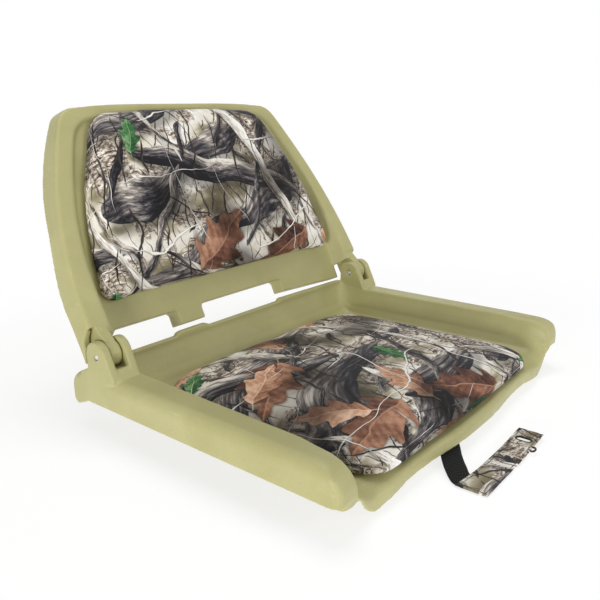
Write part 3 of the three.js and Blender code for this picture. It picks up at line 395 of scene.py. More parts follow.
# %% [markdown]
# ## The printed cover
#
# The cushions wear a smooth woven cloth with a woodland print. The print here is a plain one
# of its own: mottled ground with leaf litter, dark boughs with streaked bark, pale limbs, thin
# twigs, and lobed leaves in rust, copper and a little green. Each layer is a mask and a colour
# laid over the last one. Limbs run in rows that noise bends. Along its row each one swells and
# tapers, which is one more noise that is read along the row only, and fine noise stretched
# along the limb gives its bark. A leaf is drawn once per cell of a Voronoi pattern, turned by
# the cell's own random value, and its outline is a parabola with a wave for the lobes.

# %% Layers of the print
def turned(tree, place, degrees, stretch=(1, 1, 1), shift=(0, 0, 0)):
    return add_node(tree, "Mapping", {
        "Vector": place, "Rotation": (0, 0, math.radians(degrees)), "Scale": stretch, "Location": shift,
    }).outputs[0]


def wandered(tree, place, size, reach):
    """The place, moved about by up to half of reach, so that straight things bend."""
    cloud = add_node(tree, "TexNoise", {"Vector": place, "Scale": 1 / size, "Detail": 1}).outputs["Color"]
    centred = add_node(tree, "VectorMath", {0: cloud, 1: (0.5, 0.5, 0.5)}, operation="SUBTRACT").outputs[0]
    moved = add_node(tree, "VectorMath", {0: centred, "Scale": reach}, operation="SCALE").outputs[0]
    return add_node(tree, "VectorMath", {0: place, 1: moved}, operation="ADD").outputs[0]


def limbs(tree, below, place, degrees, pitch, half_width, bark, shift, share=0.5, lit=0.2, shadow=0.55):
    """Bent limbs in rows. Each swells, tapers out and comes back, and is lit along one side."""
    bent = wandered(tree, turned(tree, place, degrees, shift=shift), 1.5 * pitch, 1.1 * pitch)
    bent = wandered(tree, bent, 0.3 * pitch, 0.09 * pitch)
    axes = add_node(tree, "SeparateXYZ", {"Vector": bent})
    row = maths(tree, "ROUND", maths(tree, "DIVIDE", axes.outputs[1], pitch))
    across = maths(tree, "SUBTRACT", axes.outputs[1], maths(tree, "MULTIPLY", row, pitch))
    apart = maths(tree, "MULTIPLY", row, 3.7 * pitch)
    line = add_node(tree, "CombineXYZ", {"X": axes.outputs[0], "Y": apart})
    swell = speckle(tree, line.outputs[0], 1.7 * pitch, detail=1)
    level = 0.5 + (0.5 - share) * 0.3
    growth = add_node(tree, "MapRange", {"Value": swell, "From Min": level,
                                         "From Max": level + 0.12}).outputs[0]
    width = maths(tree, "MULTIPLY", maths(tree, "POWER", growth, 0.6), half_width)
    off = maths(tree, "ABSOLUTE", across)
    mask = band(tree, maths(tree, "SUBTRACT", width, off), 0, min(0.12 * half_width, 0.4 * MM))
    side = maths(tree, "DIVIDE", across, half_width)
    drawn_out = maths(tree, "MULTIPLY", axes.outputs[0], 0.17)
    grain = add_node(tree, "CombineXYZ", {"X": drawn_out, "Y": across, "Z": row})
    fibre = speckle(tree, grain.outputs[0], 0.16 * half_width + 0.8 * MM, detail=5, roughness=0.68)
    patch = speckle(tree, line.outputs[0], 0.6 * pitch, detail=2)
    tone = maths(tree, "MULTIPLY_ADD", fibre, 1.6, maths(tree, "MULTIPLY_ADD", patch, 1.0, -0.8))
    tone = maths(tree, "MULTIPLY_ADD", side, lit, tone)
    below_it = maths(tree, "ABSOLUTE", maths(tree, "ADD", across, 0.35 * half_width))
    shade = maths(tree, "SUBTRACT", width, below_it)
    shade = band(tree, shade, -0.45 * half_width, 0.1 * half_width)
    shade = maths(tree, "MULTIPLY", shade, band(tree, growth, 0.0, 0.2))
    shaded = mixed(tree, maths(tree, "MULTIPLY", shade, shadow), below, colour("#26221f"))
    return mixed(tree, mask, shaded, ramp(tree, tone, bark))


def leaves(tree, below, place, size, share, stops, shift, slender=0.36, lobes=0.26):
    """One lobed leaf in some of the cells, with a fold, a midrib, veins and a soft shadow."""
    spot = add_node(tree, "VectorMath", {0: place, 1: shift}, operation="ADD").outputs[0]
    cells = add_node(tree, "TexVoronoi", {"Vector": spot, "Scale": 1 / size, "Randomness": 0.45},
                     voronoi_dimensions="2D")
    local = add_node(tree, "VectorMath", {0: spot, 1: cells.outputs["Position"]},
                     operation="SUBTRACT").outputs[0]
    chance = add_node(tree, "SeparateColor", {"Color": cells.outputs["Color"]})
    angle = maths(tree, "MULTIPLY", chance.outputs[0], 2 * math.pi)
    spun = add_node(tree, "VectorRotate", {"Vector": local, "Angle": angle},
                    rotation_type="Z_AXIS").outputs[0]
    wavy = wandered(tree, wandered(tree, spun, 0.35 * size, 0.16 * size), 0.06 * size, 0.022 * size)
    axes = add_node(tree, "SeparateXYZ", {"Vector": wavy})
    length = 0.4 * size
    x = maths(tree, "DIVIDE", axes.outputs[0], length)
    signed = maths(tree, "DIVIDE", axes.outputs[1], length)
    y = maths(tree, "ABSOLUTE", signed)
    body = maths(tree, "SUBTRACT", 1, maths(tree, "MULTIPLY", x, x))
    tip = maths(tree, "MULTIPLY_ADD", x, -0.4, 1)
    wave = maths(tree, "SINE", maths(tree, "MULTIPLY", maths(tree, "MULTIPLY_ADD", y, -0.8, x), 10.5))
    teeth = maths(tree, "MULTIPLY_ADD", wave, lobes, 1 - 0.5 * lobes)
    width = maths(tree, "MULTIPLY", maths(tree, "MULTIPLY", body, slender),
                  maths(tree, "MULTIPLY", tip, teeth))
    inside = maths(tree, "SUBTRACT", width, y)
    stalk = maths(tree, "MULTIPLY", band(tree, y, 0.02, 0.01), band(tree, x, -1.3, -1.2))
    stalk = maths(tree, "MULTIPLY", stalk, band(tree, x, 0.0, -0.1))
    present = maths(tree, "LESS_THAN", chance.outputs[2], share)
    mask = maths(tree, "MULTIPLY", maths(tree, "MAXIMUM", band(tree, inside, 0, 0.01), stalk), present)
    shadow = maths(tree, "MULTIPLY", band(tree, inside, -0.12, 0.03), present)
    veins = maths(tree, "SINE", maths(tree, "MULTIPLY", maths(tree, "MULTIPLY_ADD", y, -0.7, x), 31))
    fold = maths(tree, "MULTIPLY", band(tree, signed, -0.02, 0.02), 0.16)
    blotch = speckle(tree, spun, 0.16 * size, detail=5, roughness=0.62)
    relief = maths(tree, "ADD", maths(tree, "MULTIPLY_ADD", veins, 0.035, blotch), fold)
    relief = maths(tree, "MULTIPLY_ADD", chance.outputs[1], 0.26, maths(tree, "SUBTRACT", relief, 0.16))
    tone = ramp(tree, relief, stops)
    rib = maths(tree, "MULTIPLY", band(tree, y, 0.03, 0.008), 0.7)
    ribbed = mixed(tree, rib, tone, colour(stops[-1][1]))
    shaded = mixed(tree, maths(tree, "MULTIPLY", shadow, 0.65), below, colour("#1d1917"))
    return mixed(tree, mask, shaded, ribbed)


# %% Printed cover cloth
DARK_BARK = [(0.25, "#17161a"), (0.45, "#37353a"), (0.6, "#6a6566"), (0.76, "#aaa199"), (0.9, "#efe9df")]
GREY_BARK = [(0.28, "#2b2725"), (0.45, "#69615b"), (0.6, "#a3998e"), (0.78, "#e3dcd0")]
PALE_BARK = [(0.2, "#5b544e"), (0.38, "#b8b0a6"), (0.55, "#ebe6dd"), (0.75, "#fffdf9")]
DARK_TWIG = [(0.3, "#161414"), (0.7, "#4a4440")]
BROWN_TWIG = [(0.3, "#463d37"), (0.7, "#8d8074")]
PALE_TWIG = [(0.3, "#d5cec4"), (0.6, "#fffdf9")]
RUST = [(0.22, "#2a1d19"), (0.42, "#5f4035"), (0.6, "#8e624e"), (0.8, "#c5977b")]
COPPER = [(0.22, "#6b493b"), (0.42, "#ab7c62"), (0.6, "#d5a788"), (0.8, "#f5d3b8")]
GREEN = [(0.22, "#16301c"), (0.42, "#2b5633"), (0.6, "#4b7d4d"), (0.8, "#93b886")]
THREAD_PITCH = 0.55 * MM


def printed_cloth(name, shift, leafy=1.0, bulk=0.8):
    """Printed polyester: matt, with a fine weave. Leafy and bulk are the shares of leaves and boughs."""
    material, tree, shader = new_material(name, {"Specular IOR Level": 0.14, "Sheen Weight": 0.02})
    flat = add_node(tree, "UVMap", uv_map="print").outputs[0]
    place = add_node(tree, "VectorMath", {0: flat, 1: shift}, operation="ADD").outputs[0]
    bent = wandered(tree, place, 80 * MM, 40 * MM)
    ground = speckle(tree, turned(tree, bent, 12, (0.7, 1.5, 1)), 62 * MM, detail=3, roughness=0.5)
    ground = ramp(tree, ground, [(0.34, "#857c63"), (0.42, "#b3aa92"), (0.47, "#e6dfd0"), (0.6, "#fbf8f2")])
    litter = speckle(tree, turned(tree, bent, 35, (0.5, 1.6, 1)), 5 * MM, detail=6, roughness=0.78)
    litter = ramp(tree, litter, [(0.36, "#1e1a19"), (0.44, "#5f5147"), (0.51, "#b8a998"), (0.6, "#fffaf1")])
    scrub = band(tree, speckle(tree, bent, 85 * MM, detail=5, roughness=0.65), 0.49, 0.53)
    picture = mixed(tree, scrub, ground, litter)

    def add_limbs(below, rows):
        # degrees, pitch of the rows and half width in mm, bark, shift, share that is grown, and light
        for degrees, pitch, half_width, *rest in rows:
            below = limbs(tree, below, place, degrees, pitch * MM, half_width * MM, *rest)
        return below

    picture = add_limbs(picture, [
        (74, 15, 0.55, BROWN_TWIG, (0.11, 0.42, 0), 0.7),
        (118, 21, 0.8, DARK_TWIG, (0.37, 0.15, 0), 0.7),
        (62, 46, 3.4, GREY_BARK, (0.72, 0.05, 0), 0.75),
        (-22, 96, 24, DARK_BARK, (0.31, 0.12, 0), bulk),
        (14, 130, 17, DARK_BARK, (0.53, 0.77, 0), bulk - 0.1, 0.45),
        (-58, 64, 5, DARK_BARK, (0.22, 0.31, 0), 0.65),
        (67, 120, 8, PALE_BARK, (0.15, 0.66, 0), 0.62),
        (98, 34, 1.3, DARK_TWIG, (0.55, 0.2, 0), 0.65)])
    picture = leaves(tree, picture, place, 132 * MM, 0.8 * leafy, RUST, (0.02, 0.03, 0), 0.6)
    picture = leaves(tree, picture, place, 96 * MM, 0.42 * leafy, COPPER, (0.45, 0.2, 0), 0.5)
    picture = leaves(tree, picture, place, 62 * MM, 0.06 * leafy, GREEN, (0.8, 0.37, 0), 0.5)
    picture = add_limbs(picture, [
        (40, 58, 1.0, DARK_TWIG, (0.65, 0.9, 0), 0.6),
        (-12, 62, 0.9, PALE_TWIG, (0.9, 0.7, 0), 0.55),
        (83, 80, 0.7, PALE_TWIG, (0.2, 0.5, 0), 0.55)])
    ink = ramp(tree, speckle(tree, place, 1.1 * MM, detail=3), [(0.3, "#dcdad6"), (0.7, "#ffffff")])
    picture = mixed(tree, 0.8, picture, ink, "MULTIPLY")
    glade = ramp(tree, speckle(tree, bent, 130 * MM, detail=1), [(0.4, "#858180"), (0.48, "#ffffff")])
    tree.links.new(mixed(tree, 1.0, picture, glade, "MULTIPLY"), shader.inputs["Base Color"])
    axes = add_node(tree, "SeparateXYZ", {"Vector": flat})
    warp_thread = maths(tree, "SINE", maths(tree, "MULTIPLY", axes.outputs[0], 2 * math.pi / THREAD_PITCH))
    weft_thread = maths(tree, "SINE", maths(tree, "MULTIPLY", axes.outputs[1], 2 * math.pi / THREAD_PITCH))
    weave = maths(tree, "MULTIPLY", warp_thread, weft_thread)
    slack = speckle(tree, place, 16 * MM, detail=3)
    bump(tree, shader, maths(tree, "MULTIPLY_ADD", weave, 0.04, slack), 0.5 * MM, 0.35)
    roughness = add_node(tree, "MapRange", {"Value": weave, "To Min": 0.6, "To Max": 0.74})
    tree.links.new(roughness.outputs[0], shader.inputs["Roughness"])
    return material


cushion_cloth = printed_cloth("cushion_print", (0.0, 0.0, 0.0), bulk=0.62)
back_cloth = printed_cloth("back_cushion_print", (1.37, 0.84, 0.0), leafy=0.5, bulk=0.7)
sleeve_cloth = printed_cloth("sleeve_print", (2.31, 0.47, 0.0), leafy=0.0, bulk=0.6)
print("print:", len(cushion_cloth.node_tree.nodes), "nodes")

# %% [markdown]
# ## Webbing, steel, brass, plywood, foam and thread
#
# These are small or half hidden, and each still gets its own texture: a two-way rib on the
# webbing, fine scratches on steel and brass, veneer rings on plywood, and cells in foam.

# %% Materials of the small pieces
def polypropylene_webbing():
    """Woven black tape: nearly no shine, and small ribs both ways, whose tops are painted grey as a highlight
    and whose grooves are painted black as shade.
    """
    material, tree, shader = new_material("polypropylene_webbing", {
        "Specular IOR Level": 0.16, "Sheen Weight": 0.02})
    flat = add_node(tree, "UVMap", uv_map="print").outputs[0]
    axes = add_node(tree, "SeparateXYZ", {"Vector": flat})
    # real ribs are 1.9 by 1.5 mm: drawn coarser, so that they show
    across = maths(tree, "SINE", maths(tree, "MULTIPLY", axes.outputs[0], 2 * math.pi / (3.1 * MM)))
    along = maths(tree, "SINE", maths(tree, "MULTIPLY", axes.outputs[1], 2 * math.pi / (2.6 * MM)))
    weave = maths(tree, "MULTIPLY", across, along)
    fuzz = speckle(tree, flat, 0.7 * MM, detail=3)
    # the ramp paints the ribs' tops grey, a painted highlight, and the grooves black, painted shade; the fuzz
    # adds random tone
    textured(tree, shader, maths(tree, "MULTIPLY_ADD", fuzz, 0.4, weave),
             [(0.0, "#030304"), (0.55, "#0b0b0c"), (1.0, "#29292a")], (0.8, 0.55), 0.25 * MM, 0.8)
    return material


def brushed_metal(name, stops, lay, rough):
    """Metal with fine scratches square to the stretched axis, which draw its glints out."""
    material, tree, shader = new_material(name, {"Metallic": 1.0, "Anisotropic": 0.3})
    scratches = speckle(tree, stretched(tree, object_place(tree), lay), 0.5 * MM, detail=4, roughness=0.7)
    textured(tree, shader, scratches, stops, rough, 0.02 * MM, 0.5)
    return material


def birch_plywood():
    """Sawn birch veneer: pale, dull, with a long figure."""
    material, tree, shader = new_material("birch_plywood", {"Specular IOR Level": 0.3})
    figure = speckle(tree, stretched(tree, object_place(tree), (0.08, 1, 1)), 5 * MM, detail=5,
                     distortion=0.8)
    textured(tree, shader, figure, [(0.3, "#8f6a41"), (0.55, "#b98f5b"), (0.75, "#cfab7a")],
             (0.6, 0.8), 0.1 * MM, 0.5)
    return material


def cut_foam():
    """Open-cell polyurethane foam: dull cream, with small pits whose bottoms are painted darker, as shade."""
    material, tree, shader = new_material("cut_foam", {"Specular IOR Level": 0.2})
    cells = add_node(tree, "TexVoronoi", {"Vector": object_place(tree), "Scale": 1 / (1.2 * MM)})
    # where the cell distance is small the surface is a pit, and the ramp paints it darker: painted shade
    textured(tree, shader, cells.outputs["Distance"],
             [(0.1, "#b9ae8c"), (0.5, "#d9d2b8"), (0.8, "#e6e0ca")], (0.85, 0.98), 0.4 * MM, 0.7)
    return material


def twisted_thread(name, dark, light):
    """Sewing thread, or the braid of an elastic cord: dark, with a slight fuzz."""
    material, tree, shader = new_material(name, {"Specular IOR Level": 0.35, "Sheen Weight": 0.2})
    twist = speckle(tree, object_place(tree), 0.35 * MM, detail=2)
    textured(tree, shader, twist, [(0.35, dark), (0.65, light)], (0.6, 0.85), 0.08 * MM, 0.6)
    return material


webbing_black = polypropylene_webbing()
stainless = brushed_metal("stainless", [(0.3, "#c4c6c8"), (0.7, "#e9ebec")], (1, 1, 0.05), (0.2, 0.34))
brass = brushed_metal("brass", [(0.3, "#a98434"), (0.7, "#cfab58")], (1, 1, 0.2), (0.28, 0.42))
plywood = birch_plywood()
foam = cut_foam()
dark_thread = twisted_thread("dark_thread", "#1c1a19", "#3b3733")
elastic_braid = twisted_thread("elastic_braid", "#0d0d0e", "#2c2c2d")
for kind, finish in (("_board", plywood), ("_foam", foam), ("_pin", stainless), ("_nut", stainless),
                     ("_screw", stainless), ("_washer", stainless), ("_insert", brass)):
    for name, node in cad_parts.items():
        if kind in name:
            dress(node, finish)
            node.data.set_sharp_from_angle(angle=math.radians(35))
print("dressed the boards, foam, pins, nuts, screws, washer and inserts")

# %% [markdown]
# ## Webbing
#
# Webbing is a flat woven tape with thick round edges. It is made as rows of points, each a
# thin rounded section, along the route. A second stretch runs inside the sleeve. Its own
# flat coordinates, across and along in metres, keep the weave square on every bend.

# %% Webbing along its route
def ribbon(lefts, rights, thickness, columns=12):
    """Points, faces and flat coordinates of a strip between two edges of its upper face."""
    lefts, rights = np.asarray(lefts, float), np.asarray(rights, float)
    middle = (lefts + rights) / 2
    ahead = np.gradient(middle, axis=0)
    across = rights - lefts
    upward = np.cross(across, ahead)
    upward *= np.sign(upward[:, 2:3]) / np.linalg.norm(upward, axis=1, keepdims=True)
    run = np.concatenate([[0], np.cumsum(np.linalg.norm(np.diff(middle, axis=0), axis=1))])
    shares = (1 - np.cos(np.linspace(0, np.pi, columns))) / 2
    full = np.sqrt(1 - np.abs(2 * shares - 1) ** 7)
    ring = [(t, -(1 - f) / 2) for t, f in zip(shares, full)]
    ring += [(t, -(1 + f) / 2) for t, f in zip(shares[-2:0:-1], full[-2:0:-1])]
    points, flat = [], []
    for row in range(len(middle)):
        for t, drop in ring:
            points.append(lefts[row] + across[row] * t + upward[row] * drop * thickness)
            flat.append((t * np.linalg.norm(across[row]), run[row]))
    n = len(ring)
    faces = [(r * n + i, r * n + (i + 1) % n, (r + 1) * n + (i + 1) % n, (r + 1) * n + i)
             for r in range(len(middle) - 1) for i in range(n)]
    faces += [tuple(range(n)), tuple(range((len(middle) - 1) * n, len(middle) * n))]
    return points, faces, flat


tucked = np.array(WEBBING_ROUTE + [(-96, -73.5, -192, 1.9, 0), (-96, -75, -195, 1.9, 0)]) * MM
left_x, right_x, middle_y, height, lead = tucked.T
left_edge = softened(np.stack([left_x, middle_y + lead / 2, height], 1), 60)
right_edge = softened(np.stack([right_x, middle_y - lead / 2, height], 1), 60)
points, faces, flat = ribbon(left_edge, right_edge, WEBBING_THICKNESS)
inner_x = np.linspace(sleeve_low.x + 4 * MM, INNER_END, 30)
inner_top = sleeve_middle.z + WEBBING_THICKNESS / 2
edge_reach = WEBBING_WIDTH / 2 - 1.8 * MM
inner_points, inner_faces, inner_flat = ribbon(
    [(x, sleeve_middle.y + edge_reach, inner_top) for x in inner_x],
    [(x, sleeve_middle.y - edge_reach, inner_top) for x in inner_x], WEBBING_THICKNESS)
faces += [tuple(i + len(points) for i in face) for face in inner_faces]
webbing = new_object("webbing", points + inner_points, faces)
with_flat(webbing, flat + inner_flat)
edit_mesh(webbing.data, outward)
hand_over(webbing, webbing_black, "seat", "webbing", "strap_webbing")
print("webbing points:", len(webbing.data.vertices))

# %% [markdown]
# ## The printed sleeve
#
# The sleeve is a tube of the cushions' cloth, sewn flat. Between its seams it is a little
# puffed, and each row of stitches pulls it down to a groove. So its thickness is worked out
# for every point: full in the middle, round at the edges, and pinched at each seam. It is
# widest where the folded webbing fills its near end, and its far end lifts off the ground.
# The buttonhole is cut through both layers.

# %% Sleeve
SEAM_INSET, SEAM_PINCH, SEAM_WIDTH = 2.7 * MM, 0.5, 1.0 * MM
CROSS_SEAMS = [3 * MM, 52 * MM, 98 * MM, 128 * MM]
HOLE_MIDDLE = Vector((12 * MM, sleeve_middle.y, sleeve_middle.z))
HOLE_HALF_LENGTH, HOLE_HALF_WIDTH = 7 * MM, 3.4 * MM
sleeve_length, sleeve_width = sleeve_high.x - sleeve_low.x, sleeve_high.y - sleeve_low.y


def lifted(points):
    """Points of the flat sleeve, laid as it lies: bent, wide at first, and lifted at its far end."""
    points = np.array(points, float)
    u = np.clip((points[:, 0] - sleeve_low.x) / sleeve_length, 0, 1)
    rise = np.clip((u - 0.4) / 0.6, 0, 1)
    points[:, 2] += 3.2 * MM * rise * rise * (3 - 2 * rise) + 0.6 * MM * np.sin(np.pi * u) ** 2
    points[:, 1] += (points[:, 1] - sleeve_middle.y) * 0.2 * np.clip(1 - u / 0.45, 0, 1) ** 2
    points[:, 1] -= 2.4 * MM * np.sin(np.pi * u) + 2.2 * MM * u * u
    return points


def sleeve_fullness(x, y):
    """Half of the sleeve's thickness, as a share of its greatest."""
    across = np.abs(y - sleeve_middle.y) / (sleeve_width / 2)
    along = np.abs(x - (sleeve_low.x + sleeve_high.x) / 2) / (sleeve_length / 2)
    round_edge = (1 - across ** 9) ** 0.5 * (1 - along ** 40) ** 0.5
    from_seams = [np.abs(np.abs(y - sleeve_middle.y) - (sleeve_width / 2 - SEAM_INSET))]
    from_seams += [np.abs(x - sleeve_low.x - seam) for seam in CROSS_SEAMS]
    nearest = np.minimum.reduce(from_seams)
    past_end = np.maximum(np.abs(y - HOLE_MIDDLE.y) - HOLE_HALF_LENGTH, 0)
    from_hole = np.hypot(x - HOLE_MIDDLE.x, past_end)
    wrinkle = np.array([noise.noise(Vector((a * 160, b * 300, 4.2))) for a, b in zip(x, y)])
    sewn_flat = 1 - 0.55 * np.exp(-(from_hole / (6 * MM)) ** 2)
    pinch = SEAM_PINCH * np.exp(-(nearest / SEAM_WIDTH) ** 2)
    return round_edge * sewn_flat * (0.86 + 0.14 * wrinkle - pinch)


def sewn_sleeve():
    rows, columns = 140, 26
    along = sleeve_low.x + sleeve_length * (0.0015 + 0.997 * np.linspace(0, 1, rows))
    across = sleeve_middle.y + sleeve_width / 2 * np.sin(np.linspace(-1, 1, columns) * np.pi / 2)
    x, y = (v.ravel() for v in np.meshgrid(along, across, indexing="ij"))
    half = np.maximum(sleeve_fullness(x, y), 0) * (sleeve_high.z - sleeve_low.z) / 2
    places = np.concatenate([np.stack([x, y, sleeve_middle.z + half], 1),
                             np.stack([x, y, sleeve_middle.z - half], 1)])
    faces = []
    for r in range(rows - 1):
        for c in range(columns - 1):
            a, b = r * columns + c, (r + 1) * columns + c
            faces += [(a, b, b + 1, a + 1), tuple(i + rows * columns for i in (a, a + 1, b + 1, b))]
    border = [c for c in range(columns)] + [r * columns + columns - 1 for r in range(1, rows)]
    border += [(rows - 1) * columns + c for c in range(columns - 2, -1, -1)]
    border += [r * columns for r in range(rows - 2, 0, -1)]
    for i, j in zip(border, border[1:] + border[:1]):
        faces.append((i, j, j + rows * columns, i + rows * columns))
    made = new_object("sleeve", places, faces)
    with_flat(made, places[:, :2])

    def close(bm):
        bmesh.ops.remove_doubles(bm, verts=bm.verts, dist=0.002 * MM)
        outward(bm)

    edit_mesh(made.data, close)
    return made


def stadium(half_length, half_width, steps=10):
    """A closed loop round a slot that runs along Y."""
    reach = half_length - half_width
    turns = np.linspace(0, math.pi, steps)
    loop = [(half_width * math.cos(a), reach + half_width * math.sin(a)) for a in turns]
    return loop + [(-x, -y) for x, y in loop]


sleeve = sewn_sleeve()
hole = [(HOLE_MIDDLE.x + x, HOLE_MIDDLE.y + y) for x, y in stadium(HOLE_HALF_LENGTH, HOLE_HALF_WIDTH)]
cut_out(sleeve, hole, HOLE_MIDDLE.z - 5 * MM, HOLE_MIDDLE.z + 5 * MM)
move_points(sleeve.data, lifted(points_of(sleeve.data)))
sleeve.data.set_sharp_from_angle(angle=math.radians(60))
hand_over(sleeve, sleeve_cloth, "seat", "cushion_cover", "strap_sleeve")
print("sleeve points:", len(sleeve.data.vertices))

# %% [markdown]
# ## The elastic loop
#
# A short loop of elastic cord is caught in the sleeve's long seam. It is a tube along a
# bent line: each ring of the tube stands square to the line, turned as little as possible
# from the ring before it, so that it never twists.

# %% Elastic loop
LOOP_LOW, LOOP_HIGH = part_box("strap_loop")
CORD_RADIUS = 1 * MM


def tube(name, line, radius, sides=10):
    line = [Vector(p) for p in line]
    points, side = [], Vector((0, 0, 1))
    for i, here in enumerate(line):
        ahead = (line[min(i + 1, len(line) - 1)] - line[max(i - 1, 0)]).normalized()
        side = (side - ahead * side.dot(ahead)).normalized()
        other = ahead.cross(side)
        points += [here + radius * (side * math.cos(a) + other * math.sin(a))
                   for a in (2 * math.pi * k / sides for k in range(sides))]
    faces = []
    for start in range(0, (len(line) - 1) * sides, sides):
        faces += [(start + k, start + (k + 1) % sides, start + sides + (k + 1) % sides, start + sides + k)
                  for k in range(sides)]
    faces += [tuple(range(sides)), tuple(range((len(line) - 1) * sides, len(line) * sides))]
    made = new_object(name, points, faces)
    edit_mesh(made.data, outward)
    return made


loop_middle = (LOOP_LOW + LOOP_HIGH) / 2
loop_reach = 0.5 * (LOOP_HIGH.x - LOOP_LOW.x) - CORD_RADIUS
loop_out = 0.45 * (LOOP_HIGH.y - LOOP_LOW.y - CORD_RADIUS)
ROOT = 2 * MM  # how far the loop's ends reach into the seam
loop_line = []
for angle in np.linspace(0, math.pi, 25):
    pinch = 1 - 0.45 * max(0, 1 - math.sin(angle)) ** 2
    loop_line.append((loop_middle.x + loop_reach * math.cos(angle) * pinch,
                      LOOP_HIGH.y + ROOT - (loop_out + ROOT) * math.sin(angle) ** 0.8,
                      loop_middle.z + 0.9 * MM))
loop = tube("elastic_loop", lifted(loop_line), CORD_RADIUS)
hand_over(loop, elastic_braid, "seat", "loop_cord", "strap_loop")
print("loop points:", len(loop.data.vertices))

# %% [markdown]
# ## Stitches
#
# A row of stitches is a line with short threads at even distances, which is a job for
# Geometry Nodes. The tree takes a line of edges, makes it a curve whose normals stay level,
# puts a point at every pitch, and lays a small stretched sphere on each. The same tree makes
# lockstitch along a seam and the close satin stitch that goes across a buttonhole's edge:
# only its sizes differ. Instances are made real, because an export would drop them.

# %% Stitches by Geometry Nodes
def stitch_tree(thread):
    tree = bpy.data.node_groups.new("stitches", "GeometryNodeTree")
    sockets = tree.interface
    sockets.new_socket("Line", in_out="INPUT", socket_type="NodeSocketGeometry")
    names = ("Pitch", "Across", "Height", "Along")
    sizes = {name: sockets.new_socket(name, in_out="INPUT", socket_type="NodeSocketFloat").identifier
             for name in names}
    sockets.new_socket("Threads", in_out="OUTPUT", socket_type="NodeSocketGeometry")
    given = tree.nodes.new("NodeGroupInput").outputs
    curve = add_node(tree, "GeometryNodeMeshToCurve", {"Mesh": given["Line"]})
    level = add_node(tree, "GeometryNodeSetCurveNormal", {"Curve": curve.outputs[0]}, mode="Z_UP")
    spots = add_node(tree, "GeometryNodeCurveToPoints", {
        "Curve": level.outputs[0], "Length": given["Pitch"]}, mode="LENGTH")
    bead = add_node(tree, "GeometryNodeMeshUVSphere", {"Segments": 7, "Rings": 5, "Radius": 0.5})
    scale = add_node(tree, "CombineXYZ", {"X": given["Across"], "Y": given["Height"], "Z": given["Along"]})
    laid = add_node(tree, "GeometryNodeInstanceOnPoints", {
        "Points": spots.outputs["Points"], "Instance": bead.outputs["Mesh"],
        "Rotation": spots.outputs["Rotation"], "Scale": scale.outputs[0]})
    real = add_node(tree, "GeometryNodeRealizeInstances", {"Geometry": laid.outputs[0]})
    smooth = add_node(tree, "GeometryNodeSetShadeSmooth", {"Geometry": real.outputs[0]})
    finished = add_node(tree, "GeometryNodeSetMaterial", {
        "Geometry": smooth.outputs[0], "Material": thread})
    output = tree.nodes.new("NodeGroupOutput")
    tree.links.new(finished.outputs[0], output.inputs[0])
    return tree, sizes


stitches, stitch_sizes = stitch_tree(dark_thread)


def sewn(name, lines, values):
    """Stitches along several lines of points, as one plain mesh."""
    points, edges = [], []
    for line in lines:
        edges += [(len(points) + i, len(points) + i + 1) for i in range(len(line) - 1)]
        points += [tuple(p) for p in line]
    made = new_object(name, points, [])
    made.data.clear_geometry()
    made.data.from_pydata(points, edges, [])
    rows = made.modifiers.new("rows", "NODES")
    rows.node_group = stitches
    for size, value in values.items():
        rows[stitch_sizes[size]] = value
    return applied(made)


def on_sleeve(line):
    """A line on the flat sleeve, raised to its upper face and laid as the sleeve lies."""
    x, y = np.asarray(line, float).T
    half = sleeve_fullness(x, y) * (sleeve_high.z - sleeve_low.z) / 2
    return lifted(np.stack([x, y, sleeve_middle.z + half + 0.1 * MM], 1))


def straight(x0, y0, x1, y1, steps=60):
    return np.stack([np.linspace(x0, x1, steps), np.linspace(y0, y1, steps)], 1)


side_reach = sleeve_width / 2 - SEAM_INSET
first_x, last_x = sleeve_low.x + CROSS_SEAMS[0], sleeve_low.x + CROSS_SEAMS[-1]
low_y, high_y = sleeve_middle.y - side_reach, sleeve_middle.y + side_reach
seam_lines = [straight(first_x, y, last_x, y) for y in (low_y, high_y)]
seam_lines += [straight(sleeve_low.x + seam, low_y, sleeve_low.x + seam, high_y, 20) for seam in CROSS_SEAMS]
seam_stitches = sewn("seam_stitches", [on_sleeve(line) for line in seam_lines], {
    "Pitch": 2.9 * MM, "Across": 0.85 * MM, "Height": 0.7 * MM, "Along": 2.6 * MM})
edge = [(HOLE_MIDDLE.x + x, HOLE_MIDDLE.y + y)
        for x, y in stadium(HOLE_HALF_LENGTH + 0.7 * MM, HOLE_HALF_WIDTH + 0.7 * MM)]
satin = sewn("buttonhole_stitches", [on_sleeve(edge + edge[:1])], {
    "Pitch": 0.6 * MM, "Across": 2.0 * MM, "Height": 0.7 * MM, "Along": 0.62 * MM})
for made in (seam_stitches, satin):
    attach(made, "seat")
print("stitches:", len(seam_stitches.data.polygons) // 35, "and", len(satin.data.polygons) // 35)

# %% [markdown]
# ## The two shells
#
# A moulding has no sharp edge anywhere, and the soft light that runs along its rounded edges
# is what tells the eye that it is plastic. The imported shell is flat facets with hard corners.
# A bevel can't be wider than the facets beside it. So a copy is merged and remeshed
# into fine even squares that keep the edges, and relaxed until each edge is round by about
# two squares. Half of each relaxing step is undone by a swelling one, so that thin walls
# don't shrink. Where a side wall flares out to the rail's nose, the real seat has one wide
# fillet, so this place is relaxed for longer. Last, most of the points on flat stretches are
# collapsed.

# %% Shells with rounded edges
SKIN_CELL = 1.15 * MM
# middle and reach: the fillet at the rail's nose, and the soft corner below it
FLARES = [(Vector((198, -142, 66)) * MM, 42 * MM), (Vector((212, -158, 18)) * MM, 20 * MM)]


def close_to(places, middle, reach):
    """1 at middle and at its mirror image across x = 0, falling softly to 0 at reach."""
    away = np.linalg.norm(np.abs(places) * (1, 0, 0) + places * (0, 1, 1) - np.array(middle), axis=1)
    left = np.clip(1 - away / reach, 0, 1)
    return left * left * (3 - 2 * left)


